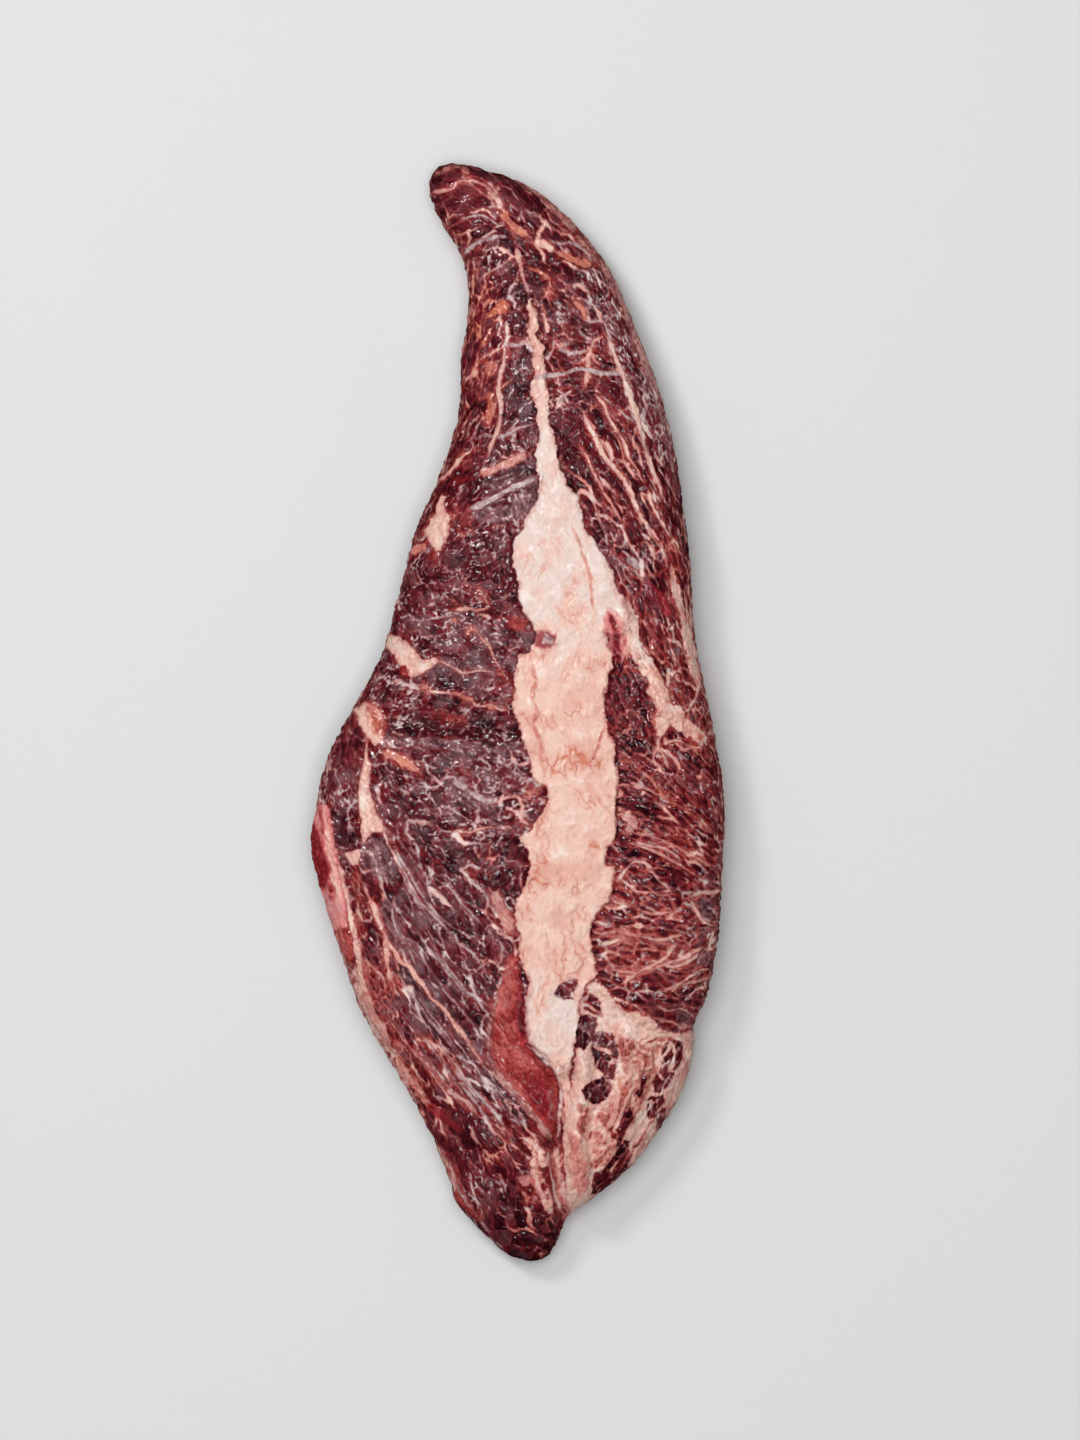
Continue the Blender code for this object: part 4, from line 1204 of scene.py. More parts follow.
# Rows for Stroke, each painted over those above it
STROKES = (
    # Seam's own creases, pinches and islands
    (CREASE, 1.4, (4.4, 14, 5.4, 9.6, 4.4, 5, 5.6, 0.4, 5, -4.4, 7, -9.7, 7.4, -16, 9, -21), 0.8),
    (CREASE, 0.9, (27, -4.7, 25.3, -7.7, 24.4, -11.1, 23.4, -14.1)),
    (CRIMSON, 0.7, (23.1, -14.3, 23.2, -14.8), 0.8),
    (CRIMSON, 0.7, (22.1, -16.4, 22.2, -16.8), 0.8),
    (CRIMSON, 0.7, (23.7, -16.4, 23.8, -16.8), 0.8),
    (CREASE, 0.9, (16.6, 57, 19.6, 49, 22, 42, 22.6, 35, 24, 30), 0.8),
    (CRIMSON, 4.6, (5, 22, 8.4, 21.8, 11.2, 20.4), 0.55, 1.6),
    (SILVER, 2.8, (7.6, 22.4, 9.4, 21.8, 11, 20.8), 0.75, 1),
    (SALMON, 5, (3.4, -24, 5, -26.6), 0.55, 3),
    (CREAM, 1.5, (3.4, 128, 2, 132, 0.6, 138, -0.6, 143), 0.75),
    (PINK, 1.1, (-0.5, 144, -2.5, 149, -5, 155, -8, 161), 0.6),
    (SALMON, 1.2, (4.6, 126, 4.8, 119, 4.6, 113, 6.4, 108, 5.6, 101, 7, 95), 0.55, 2),
    (ROSE, 6, (28, 30.6, 29.8, 27, 31, 22, 31.6, 16), 0.9, 1.6),
    (CRIMSON, 2.2, (27.8, 30, 29.4, 27, 30, 23, 30.4, 18, 30.8, 15), 0.85, 1.4),
    (PINK, 1.4, (31.6, 28, 32.6, 23, 33, 18, 34, 15), 0.7, 1.2),
    # Painted shade along the seam's right border
    (DARK, 1, (30.4, -12, 31, -20, 31, -30, 30.6, -39), 0.9),
    # Branch on the right, its end and the line beside it
    (CREAM, 4.6, (33, 34, 35, 26, 36, 19, 39, 14.5, 43, 9, 46, 4)),
    (CREAM, 5, (44, -0.6, 47, 0, 50.6, -2.4), 0.9, 1),
    (ORANGE, 2.2, (39.2, 13.8, 42.4, 11.6, 44.4, 9.4), 0.5, 1.6),
    (ORANGE, 1.4, (46, 7.2, 47, 4.6), 0.55, 1.2),
    (ORANGE, 1.2, (42, -1.6, 41.6, -4.4, 42.4, -6.6), 0.6, 1.2),
    (SALMON, 3.6, (50.4, -3.6, 53.8, -6.4, 56.6, -9.2), 0.6, 1.4),
    (CRIMSON, 1.8, (52, -8.2, 53.4, -8.8), 0.8, 0.6),
    (ORANGE, 1.8, (55.6, -7.4, 56.6, -8.4), 0.7, 0.6),
    (CREAM, 0.9, (55.9, 15.4, 56, 10.6, 55.2, 5.6, 52.8, 1, 50, -1), 0.85),
    (CREAM, 0.8, (44.2, -10.2, 48.4, -8.8, 53.2, -10.6, 57, -11.4), 0.8),
    (CREAM, 1, (43, -7.6, 43.6, -11.6, 45.6, -15, 46, -17.6), 0.7),
    (FILM, 3.4, (47.6, 19.2, 48.6, 17.2), 0.9, 1.2),
    (FILM, 2.8, (53.6, -1.2, 55, -2.2), 0.9, 1),
    (CREAM, 2.6, (47.5, 41, 49.3, 36, 50.8, 30, 52.3, 24, 54, 17, 55.4, 9), 0.85),
    # Tip, the edge on its right and just below it
    (RIND, 1.8, (-26.4, 165, -22, 167.6, -18, 168.6, -15, 166.2)),
    (PINK, 1.1, (-26.8, 160, -23, 160.6, -20, 161.2, -18.6, 162.8, -15, 163.8, -12, 162.8, -8.5, 161), 0.8),
    (SILVER, 0.9, (-17, 151.5, -14, 152.6, -10, 152.4, -7.5, 150.8, -5.5, 149.4), 0.9),
    (SILVER, 1.2, (-17.2, 140.8, -14, 143.4, -10, 144.8, -5, 145.9, -2.5, 145.4)),
    (RIND, 2.4, (-9.5, 163, -7, 159, -5.4, 154), 0.9),
    (ORANGE, 2.6, (-5, 153.2, -2.6, 150.2, 0, 147.6, 2.4, 146), 0.9),
    (CREAM, 2.3, (5, 143.8, 8, 143.4, 11, 141.6), 0.95),
    (ORANGE, 2.6, (12.4, 141.4, 16, 139.4, 20, 138, 23, 137.6), 0.85),
    (SILVER, 1.2, (9, 145, 13, 144, 17, 144.4, 20, 142.4, 24, 140, 28, 137, 31, 132.6), 0.8),
    (RIND, 3.4, (-7, 165, 2, 162.4, 8, 159, 14, 153.2, 20, 146.2, 26, 139, 30.6, 131, 34.4, 122,
        38, 112, 41.5, 103, 44.5, 94), 0.85),
    (ORANGE, 1, (2, 136.6, 6, 135.2, 9.5, 133, 9.5, 129, 10, 127), 0.7),
    (WHITE, 1, (-3.6, 120, -3.4, 116, -4, 112), 0.9),
    (ORANGE, 1.4, (17.6, 126.4, 19.8, 123.4, 21, 120), 0.8),
    (PINK, 1.4, (20.6, 99, 21.4, 104, 22, 110.6, 24, 114.2, 27, 115.6), 0.85),
    # Upper left
    (PINK, 1, (-17, 101, -14.4, 104, -12, 108, -9, 109.6, -6, 111.2, -4.4, 112), 0.75),
    (SILVER, 1.1, (-15, 83.6, -13, 84, -10, 85, -7, 84, -3, 85, 0, 87, 5, 88.2), 0.8),
    (CREAM, 1.2, (-15, 84, -14, 81, -16.4, 79, -19, 76.4, -22, 73.4, -24.6, 71), 0.8),
    (CREAM, 1.5, (-4, 112, -4.6, 107, -6, 100, -5.2, 93, -6, 88, -8, 82, -10, 77), 0.85),
    (ORANGE, 2.4, (-10.4, 107, -7.4, 106, -9, 103), 0.7),
    (ORANGE, 2.2, (-9.4, 98, -8.4, 93, -10, 88), 0.6),
    (WHITE, 1.6, (-3, 113, 0, 112.4, 2.4, 113.8), 0.6),
    (SILVER, 1.5, (4, 102.6, 8, 102.8, 13, 103.6, 17, 104.6, 21, 105, 25, 104, 30, 103.8, 36, 103)),
    (SILVER, 1.5, (12.4, 111, 17, 110, 21.6, 110.6), 0.8),
    (SILVER, 2, (-15, 62.4, -11, 63.4, -8, 65, -4, 67.2, 0, 69.2, 6, 72)),
    (PINK, 2.6, (-12, 72.6, -7, 74.6, -2, 76.4, 3, 78.4), 0.75, 1.8),
    # Upper right
    (CREAM, 1.4, (27, 116, 29, 112, 30.4, 108, 32.6, 103, 34, 99, 35.6, 94, 37.6, 88, 39.6, 80,
        41.6, 74, 43.6, 70, 45, 65), 0.9),
    (CREAM, 1, (24, 97, 27, 93, 29, 88, 31.6, 84.4, 33.6, 79, 36, 75, 38.6, 70), 0.95),
    (SILVER, 1, (26, 97, 28, 95, 31, 92.4, 34, 90, 36.6, 88), 0.8),
    (CREAM, 1.4, (20, 91.4, 22, 87, 24, 83.6, 26, 79, 28.4, 76, 31, 73, 34, 69, 36, 64, 38, 60), 0.95),
    (CREAM, 1.2, (27, 83, 28.4, 80, 29, 76.4), 0.9),
    (PINK, 0.9, (20, 80.4, 22, 76, 24, 72, 26, 68, 28.4, 64, 31, 60, 33, 57), 0.85),
    (WHITE, 0.8, (12, 99, 14, 97, 15.6, 94.4), 0.9),
    (WHITE, 0.8, (11.4, 95.4, 14, 97, 16.6, 98.6), 0.9),
    (FILM, 4.5, (37, 117, 41, 104, 45, 91, 48.5, 78, 51, 62, 53, 48), 0.55, 3),
    (SILVER, 0.8, (39, 108, 42, 99, 44.6, 90, 47, 80, 49, 70), 0.8),
    # Left, middle
    (ORANGE, 2.6, (-28.8, 51.6, -31, 50, -32.6, 48.4), 0.8),
    (CRIMSON, 2.2, (-21.5, 69.6, -17, 71.4, -12, 72), 0.6, 1.8),
    (PINK, 1, (-12, 38, -10.4, 35, -9, 32, -12, 31, -16, 31.4, -20, 31), 0.8),
    (PINK, 0.8, (-17, 25.4, -14, 26, -12.4, 24, -9, 20, -7, 16, -5, 12.4, -3, 10), 0.7),
    (CREAM, 0.9, (-24, 16, -21, 14, -17, 12, -12, 12.4, -8, 12), 0.7),
    (BRICK, 3, (-36, 12, -34, 12.4), 0.9),
    # Right, above the branch
    (FILM, 2, (38, 42.4, 40.4, 38.6, 42.4, 33.6, 44.6, 30)),
    (SILVER, 2, (33, 47, 36, 45.4, 38.4, 43.8), 0.7),
    (CREAM, 1, (37, 62, 39, 58, 41, 54, 44, 50, 46, 47), 0.85),
    (CREAM, 1, (40, 68, 42, 62, 45, 57, 47, 53), 0.8),
    # Left, the painted shade along the cleft and the line above it
    (CREAM, 1, (-30, 7, -25, 6, -20, 5.4, -15, 4, -12, 1.4, -8, 2, -5, 0.4, -3, 0.4), 0.8),
    (DARK, 4.4, (-36, -3, -22, -5, -8, -5), 0.42),
    # Left, lower
    (SALMON, 3.4, (-45.6, 2.6, -43.2, -2, -42.4, -7), 0.85, 2.4),
    (SOOT, 5, (-45.4, -42, -41.6, -50), 0.8, 2.6),
    (ORANGE, 2.6, (-41.6, -12.8, -38.6, -13.6, -34.8, -15.4, -31.6, -17.6, -29.6, -19.4), 0.85),
    (CREAM, 0.9, (-41.4, -36, -39.6, -40.5, -37.4, -45, -34.4, -50, -32, -54.5, -30, -58), 0.9),
    (FILM, 3, (-40, -8, -35, -9, -28, -9, -20, -10, -12, -9.6, -4, -12), 0.8),
    (FILM, 6, (-22, -22, -14, -26, -6, -29), 0.9, 3),
    (SILVER, 2.4, (-20, -21.4, -15, -24.4, -11, -26.4, -7, -28), 1, 1.6),
    (PINK, 1.1, (-7, -28, -3, -26.4, 0, -26, 1.4, -29, 1, -33, 4, -35), 0.8),
    (PINK, 0.8, (-20, -36, -15, -37, -10, -35.4, -4, -36, 1, -35), 0.8),
    (SILVER, 0.9, (-39, -40, -36, -45, -33, -50, -28, -58, -20, -66, -12, -70), 0.85),
    (PINK, 1.2, (-49.6, -49.4, -47, -54, -45.4, -58, -43.6, -62, -41.8, -66, -40, -70.4, -37.6, -74,
        -36, -76.8, -33, -78.4, -31.4, -81, -28, -85, -26, -88, -22, -92, -18.4, -97, -14, -103,
        -11, -108)),
    (CREAM, 1.7, (-45, -58, -43.2, -63, -41.4, -67), 0.9),
    (SILVER, 0.8, (-38, -42, -35, -49, -32, -54, -30, -58, -27, -61, -22, -66.5, -18, -71, -13, -75,
        -10, -80), 0.9),
    (SILVER, 0.9, (-28, -66, -26, -70, -25, -74, -22, -78, -17, -84, -13, -88, -10, -90), 0.9),
    (SILVER, 0.7, (-36, -66, -33, -72, -28, -78.4, -24, -84, -18, -91, -13, -97), 0.8),
    (SILVER, 0.7, (-33, -84, -28, -91, -22, -99, -16, -107, -10, -114), 0.8),
    (SILVER, 0.8, (-37, -90, -32, -97, -26, -104, -20, -112, -14, -119, -8, -126), 0.8),
    (WHITE, 0.6, (-25, -99, -22, -105, -18, -110, -15, -116, -12, -119), 0.8),
    (PINK, 0.7, (-40, -94, -35, -101, -29, -108, -24, -115), 0.7),
    (PINK, 1.5, (-41, -67, -40.4, -72, -40, -77, -40, -83), 0.85),
    (FILM, 5, (-40, -56, -37.6, -66, -33, -75), 0.95, 2.4),
    (WHITE, 0.7, (-39, -60, -37.6, -66, -35.4, -71), 0.8),
    (SOOT, 3, (-36, -77, -33, -84, -28, -94, -22, -104), 0.85),
    (SILVER, 0.8, (-30, -50, -22, -53, -17, -59, -14, -62, -10, -66), 0.8),
    (PINK, 3.4, (-8, -55, -5, -60, -2, -68), 0.6),
    (SILVER, 1, (-27, -70, -23, -78, -17, -85, -11, -88.6, -7, -92), 0.8),
    (SILVER, 1, (-37, -80, -31, -89, -25, -97, -19, -104), 0.75),
    (TAN, 1.8, (-5.6, -85, -8, -93, -9.2, -100, -8.6, -106), 0.7, 1.8),
    (SILVER, 0.9, (-20, -110, -12, -118, -6, -125, -2, -130), 0.8),
    (RIND, 1.6, (-11, -106, -5, -112, 1, -119, 6, -127, 9, -131), 0.8),
    (CREAM, 1.4, (-22, -116, -16, -120, -12, -124), 0.6),
    # Pink band on the left and the cream beside it
    (PINK, 2, (-60.4, -30, -58.4, -38, -56.8, -47, -55.6, -55, -54.8, -61), 0.7, 1.8),
    (CRIMSON, 1, (-61.4, -29, -60.4, -33, -59.6, -38), 0.6, 2),
    (ROSE, 0.8, (-54.8, -66, -53.8, -70, -52.8, -74), 0.8, 1.2),
    (CREAM, 1.4, (-55, -47, -53.6, -52, -52.4, -58, -51.2, -64, -50.4, -69), 0.95),
    (CREAM, 1.8, (-50.2, -66, -49.6, -72, -48.8, -78, -47.8, -84, -46.6, -88), 0.8),
    (PINK, 2.4, (-47.6, -86, -45, -92, -42, -98, -39, -104), 0.7),
    (SALMON, 2.2, (-51, -50, -49.4, -55, -48.2, -61, -48.4, -66), 0.5),
    (TAN, 1.6, (-55.6, -68, -54.6, -74, -52, -80), 0.6),
    # Blotches and films on the left
    (ORANGE, 1.8, (-29.6, 7.4, -27.8, 7.4, -26, 6.8), 0.7, 0.8),
    (ORANGE, 1.7, (-20.6, 5.6, -18, 5, -15.4, 3.8, -13, 3.2), 0.7, 0.8),
    (ORANGE, 1.5, (-10, 1.8, -7, 0.8), 0.75, 0.8),
    (ORANGE, 1.2, (-19.9, 28.4, -19, 27.6), 0.7, 0.8),
    (ORANGE, 1.3, (-15.6, 23.4, -14.8, 25, -13, 25.2), 0.7, 0.8),
    (ORANGE, 4.4, (-46, 0, -44.2, -4, -43, -8.4), 0.5, 2),
    (SILVER, 5.4, (-45.4, -41, -43.8, -46, -42.4, -51), 0.58, 2.4),
    (SILVER, 3.6, (-37.4, -64, -36, -70, -34.4, -74), 0.48, 1.8),
    # Right, middle
    (CREAM, 3.4, (32.4, -31.4, 35, -33.4, 33.4, -37), 0.7),
    (ORANGE, 0.9, (37, -17, 41, -21, 46, -27, 52, -30, 58, -36), 0.7),
    (PINK, 1, (33, -40, 40, -42, 48, -46, 56, -51), 0.7),
    (PINK, 1, (34, -37, 42, -38.4, 50, -42, 60, -48), 0.7),
    (PINK, 1, (30, -57, 36, -60, 42, -62, 48, -61), 0.7),
    (PINK, 1.1, (24, -68, 30, -67.4, 36, -68.6, 44, -70, 52, -68), 0.8),
    (PINK, 1.1, (28, -79, 36, -80, 44, -78, 50, -76, 58, -72), 0.8),
    (CREAM, 1.2, (44, -86, 48, -84.4, 54, -83, 60, -82), 0.6),
    (CREAM, 1.2, (52.6, -57, 56, -55.8, 59, -55.6, 62.4, -55), 0.8),
    (CREAM, 0.9, (53, -57.4, 54.6, -60.6, 57.6, -64.8, 60.6, -66), 0.8),
    (FILM, 7.6, (56, -60.4, 60.2, -60), 0.9, 2.4),
    (FILM, 4.6, (49.6, -92.6, 53.6, -95.4), 0.8, 2),
    (CREAM, 0.8, (42, -89.6, 46.4, -92, 50.8, -91.6, 55, -94.6), 0.75),
    (PINK, 0.8, (39, -92, 43.6, -94.6, 48, -95.4, 52, -98), 0.75),
    (FILM, 5, (56, -73, 58.6, -77), 0.8, 2.4),
    (PINK, 5, (29, -67, 33, -69.6, 35.6, -72), 0.45, 3),
    (PINK, 1.4, (31, -84, 36, -80.4, 42, -77.6, 46, -74.6, 49, -71), 0.8),
    (CREAM, 1, (44, -77.4, 48, -78.4, 52, -77, 56, -74.4), 0.8),
    (CREAM, 0.9, (47, -86, 51, -82.6, 56, -80, 59, -79), 0.8),
    (CREAM, 1, (36, -40, 41, -41, 47, -43, 50, -45.4), 0.85),
    (CREAM, 1.1, (30.6, -52, 33, -48.6, 36, -46, 39, -46.4, 41, -48.6), 0.85),
    # Brick strip
    (SALMON, 3.4, (-2.6, -77, -3, -84, -3.4, -92), 0.4, 3),
    (CRIMSON, 5, (7, -121, 9.6, -125, 11.4, -129), 0.9, 3.4),
    (VEIN, 0.8, (-7.8, -100, -6.4, -108, -1.4, -115, 4, -121.4, 9, -128), 0.6),
    # Fatty lobe and tail
    (SOOT, 1.4, (1.4, -78, 2.6, -84, 0.8, -92, 1.6, -100), 0.5, 1.6),
    # Painted shade in the crevice along the red strip's right side
    (DARK, 1.5, (2, -102.2, 6.4, -105.4, 11.4, -111, 13, -116.4, 13, -124, 12.6, -131), 0.9),
    # Painted glints along the crevice's rim and in small curls beside it
    (WHITE, 0.7, (2.2, -102.4, 6.6, -105.8, 11.4, -111.6, 12.9, -116.4, 12.8, -123.6, 12.4, -130.8), 0.9),
    (WHITE, 0.5, (11, -115, 9.4, -118.6, 10.6, -121, 9.6, -124, 11.4, -126), 0.7),
    # Painted shadow line along the lower side of the band above
    (VEIN, 0.9, (40, -101.4, 44, -100.6, 48, -100.6), 0.8),
    (ORANGE, 1.2, (32.8, -104, 35, -106.6, 38.4, -108, 39.6, -105.6), 0.7),
    (ORANGE, 1.4, (31, -112, 31.8, -115.6, 33.6, -117, 35, -115), 0.7),
    (CREAM, 1.4, (35.4, -101, 37.6, -104, 41, -105.6, 40.6, -109, 37.4, -110), 0.8),
    (CREAM, 1.6, (28.6, -121, 30.4, -117.4, 29.6, -124, 27, -129), 0.7),
    (SALMON, 3, (22, -122, 20.4, -126, 21, -131), 0.5, 2.4),
    (VEIN, 0.7, (46, -118, 43, -124, 39, -130, 35, -136, 31, -141), 0.7),
    (CREAM, 1.2, (36, -104, 38, -108, 37, -113, 34, -118, 31.6, -124, 29, -130), 0.8),
    (CREAM, 1.6, (52.6, -102, 51.8, -109, 50.4, -115, 47, -122), 0.9),
    (SILVER, 0.9, (-20, -143, -17, -150, -12, -157, -8, -163, -3, -168), 0.8),
    (VEIN, 0.8, (2, -131.6, 5.4, -135, 6, -140, 7.6, -146, 10, -151), 0.8),
    (WHITE, 0.7, (9.4, -134, 10, -141, 11.6, -148, 13.6, -155), 0.8),
    (VEIN, 0.8, (11, -134, 11.6, -142, 13.4, -150, 15, -156), 0.8),
    # Painted shade in the cleft near the tail
    (DARK, 1.6, (-1, -150, 0.6, -157, 3, -165), 0.8),
    (BRICK, 1.6, (-19.6, -150, -15, -154, -12, -158), 0.7),
    (CRIMSON, 2.4, (-28, -121, -24, -124, -20, -127, -17, -129.4), 0.9),
    (TAN, 1.8, (-24.4, -134, -21.6, -139.6, -20, -144, -19.4, -148), 0.8),
    (TAN, 2.4, (-9, -109, -3, -115, 2, -121, 7, -127, 11, -132), 0.85),
    (SOOT, 3, (-10, -111.6, -4, -118.4, 2, -125.6), 0.8),
)


@dataclass
class Anatomy:
    """The tissues placed one by one, painted over the marbling as the slab is seen from above.

    Each is laid with an edge about a millimetre soft, and the material draws the sharp border inside that
    edge. waves holds the height and size of the three orders of waves that bend every border, and the
    margins say how far round a piece of tissue it is worked out, in mm.
    """

    strokes: tuple[Stroke, ...] = tuple(Stroke(*row) for row in STROKES)
    areas: tuple[Area, ...] = tuple(Area(*row) for row in AREAS)
    seam: Path = SEAM
    waves: tuple[Point, ...] = ((0.45, 4.2), (0.30, 1.5), (0.16, 0.7))
    seam_margin: float = 5.0
    area_margin: float = 4.0
    stroke_margin: float = 2.5
    far_outside: float = -50.0
    flush_reach: float = 0.8

    CHANNELS = ("fat", "warm", "film", "tone", "blush", "blood", "lift")

    def paint(self, x: Array, y: Array, look: dict[str, Array], over: Array) -> Array:
        """Paints the seam, then the areas, then the strokes.

        Args:
            x, y: places, in mm.
            look: what lies at each place already; it is changed.
            over: how far each place faces up, from 0 to 1.

        Returns:
            Distance inside the seam's border in mm, negative outside.
        """
        self.x, self.y, self.look, self.over = x, y, look, over
        self.drift_x = self.drift((61, 62, 67))
        self.drift_y = self.drift((63, 64, 68))
        self.swell = Ripple(65)(x, y, 5.5)
        self.fray = Ripple(66)(x, y, 1.4)
        self.woven = {name: values.copy() for name, values in look.items()}
        grit = 0.45 * (look["tone"] - 0.42) + 0.30 * (look["fat"] - 0.25) + 0.12 * Ripple(69)(x, y, 0.9)
        self.grit = np.clip(grit, -0.20, 0.14)
        look["lift"] = np.zeros_like(x)
        look["blood"] = np.zeros_like(x)
        seam = self.paint_seam()
        for area in self.areas:
            self.paint_area(area)
        for stroke in self.strokes:
            self.paint_stroke(stroke)
        return seam

    def drift(self, seeds: tuple[int, ...]) -> Array:
        """How far a border is shifted at each place: the sum of the three orders of waves, in mm."""
        return sum(high * Ripple(seed)(self.x, self.y, size) for seed, (high, size) in zip(seeds, self.waves))

    def paint_seam(self) -> Array:
        """Paints the seam in cream: warmer at its upper end and below the middle, and frayed at its border.

        Returns:
            Distance inside the seam's border in mm, negative outside.
        """
        seam = np.full(self.x.shape, self.far_outside, np.float32)
        outline = points_of(self.seam)
        near = in_box(self.x, self.y, outline, self.seam_margin)
        seam[near] = self.inside(outline, 1.2, near)
        cover = self.edge(seam[near], 0.7) * self.over[near]
        self.lay(near, Tissue.CREAM, cover, 0.0)
        y = self.y[near]
        warmer = smooth_step((44.0 - y) / 44.0) + 0.6 * smooth_step((y - 80.0) / 20.0)
        warmer -= 0.9 * smooth_step((-76.0 - y) / 14.0)
        fringe = np.exp(-((seam[near] / 1.3) ** 2))
        fringe *= smooth_step(0.4 + 1.4 * self.swell[near] + 0.4 * self.fray[near])
        fringe *= smooth_step((y + 106.0) / 5.0)
        cover = cover * smooth_step((y + 112.0) / 10.0)
        self.look["warm"][near] += cover * (0.30 * warmer - 0.22 + 0.12 * fringe)
        self.look["fat"][near] -= cover * (0.06 * warmer - 0.04 + 0.22 * fringe)
        return seam

    def paint_area(self, area: Area) -> None:
        """Paints an area, whose thick fat is a little thinner along its border with lean.

        Args:
            area: what to paint.
        """
        outline = points_of(area.outline)
        near = in_box(self.x, self.y, outline, self.area_margin)
        deep = self.inside(outline, area.ragged, near)
        cover = self.cover(area, deep, near)
        bare = smooth_step((0.75 - self.look["fat"][near]) / 0.3)
        self.lay(near, area.tissue, cover * self.over[near])
        if (area.tissue.fat or 0.0) > 0.6:
            thinner = 0.24 * bare * cover * np.exp(-((deep / 0.9) ** 2))
            self.look["fat"][near] -= thinner * (1.0 + 0.8 * self.fray[near])
        self.flush(near, area.tissue, deep, cover)

    def paint_stroke(self, stroke: Stroke) -> None:
        """Paints a stroke: a bent line that swells and frays along its length and tapers at both ends.

        Args:
            stroke: what to paint.
        """
        points = curve_through(stroke.path)
        near = in_box(self.x, self.y, points, stroke.width / 2.0 + self.stroke_margin)
        bent_x = self.x[near] + 0.55 * self.drift_x[near]
        bent_y = self.y[near] + 0.55 * self.drift_y[near]
        away, share = distance_to_path(bent_x, bent_y, points)
        taper = smooth_step(np.minimum(share, 1.0 - share) / 0.16 + 0.25)
        half = stroke.width / 2.0 * (0.35 + 0.65 * taper)
        half = half * (1.0 + 0.40 * self.swell[near] + 0.25 * self.fray[near])
        solid = stroke.solid * (0.55 + 0.45 * taper) * np.clip(1.0 + 0.30 * self.swell[near], 0.4, 1.1)
        cover = np.clip(self.edge(half - away, stroke.soft) * solid, 0.0, 1.0)
        self.lay(near, stroke.tissue, cover * self.over[near])
        self.flush(near, stroke.tissue, half - away, cover)

    @staticmethod
    def edge(deep: Array, soft: float) -> Array:
        """A soft edge: half on the border, 0 and 1 half of soft away from it."""
        return smooth_step(deep / soft + 0.5)

    def inside(self, outline: Array, ragged: float, near: Array) -> Array:
        """How far inside an outline some places are.

        A place is inside where a line to its right crosses the outline an odd number of times.

        Args:
            outline: the outline's corners.
            ragged: how far the outline wanders, in mm for each mm of drift.
            near: which places to work out.

        Returns:
            Distances in mm, negative outside.
        """
        x = self.x[near] + ragged * self.drift_x[near]
        y = self.y[near] + ragged * self.drift_y[near]
        closed = np.array([*outline, outline[0]])
        away, _ = distance_to_path(x, y, closed)
        within = np.zeros(x.shape, bool)
        for (ax, ay), (bx, by) in zip(closed[:-1], closed[1:]):
            if ay != by:
                within ^= ((ay > y) != (by > y)) & (x < (bx - ax) * (y - ay) / (by - ay) + ax)
        return np.where(within, away, -away)

    def cover(self, area: Area, deep: Array, near: Array) -> Array:
        """How much of an area's tissue lies at some places: patchy where the area isn't solid.

        Args:
            area: the area.
            deep: distance inside its outline, in mm.
            near: which places those are.

        Returns:
            Shares from 0 to 1.
        """
        edge = self.edge(deep, area.soft)
        if area.solid >= 0.95:
            return edge
        patch = 0.5 * self.swell[near] + 0.8 * self.drift_x[near] + 0.5
        return edge * smooth_step((patch - 1.0 + area.solid) * 2.0 + 0.5) * min(area.solid + 0.25, 1.0)

    def flush(self, near: Array, tissue: Tissue, deep: Array, cover: Array) -> None:
        """Makes the lean beside fat lighter and redder, by exp(-(distance / reach)^2).

        Args:
            near: which places to change.
            tissue: what was laid there; only fat makes lean redder.
            deep: distance inside its border, in mm.
            cover: how much of it lies there.
        """
        if not tissue.fat:
            return
        beside = np.exp(-((np.minimum(deep, 0.0) / self.flush_reach) ** 2)) * (1.0 - cover)
        self.look["tone"][near] += 0.16 * beside
        self.look["blush"][near] += 0.40 * beside

    def lay(self, near: Array, tissue: Tissue, cover: Array, lift: float = 1.0) -> None:
        """Lays a tissue over what is there.

        Each channel that the tissue names moves to its own value by the cover. Lean brings the marbling back.

        Args:
            near: which places to change.
            tissue: what to lay.
            cover: how much of it lies there, from 0 to 1.
            lift: how much of its height and grit it brings, from 0 to 1.
        """
        look = self.look
        if tissue is Tissue.LEAN:
            for name in ("fat", "warm", "film", "tone", "blush"):
                look[name][near] += cover * (self.woven[name][near] - look[name][near])
        for name, value in zip(self.CHANNELS, tissue.value):
            if name == "lift":
                look[name][near] += cover * value * lift
            elif name == "fat" and value:
                value = value + (0.5 + 1.3 * (1.0 - value)) * self.grit[near] * lift
                under = look[name][near]
                raised = np.maximum(under * (1.0 - 0.6 * cover), cover * value)
                look[name][near] = np.where(value < under, under + cover * (value - under), raised)
            elif name == "film" and value:
                look[name][near] += cover * (value * (0.75 + 2.5 * self.grit[near]) - look[name][near])
            elif name == "tone" and tissue.fat == 0.0:
                look[name][near] += cover * (value + 0.9 * self.grit[near] - look[name][near])
            elif value is not None:
                look[name][near] += cover * (value - look[name][near])


def add(tree: Tree, kind: str, inputs: dict | None = None, **settings: object) -> bpy.types.Node:
    """Adds a node, sets it up and links it.

    Args:
        tree: the material's nodes.
        kind: the node's type.
        inputs: for each input's name or number, a value or the output to link to it.
        settings: the node's own settings.

    Returns:
        The new node.
    """
    node = tree.nodes.new(kind)
    for name, value in settings.items():
        setattr(node, name, value)
    for name, value in (inputs or {}).items():
        if isinstance(value, bpy.types.NodeSocket):
            tree.links.new(value, node.inputs[name])
        else:
            node.inputs[name].default_value = value
    return node


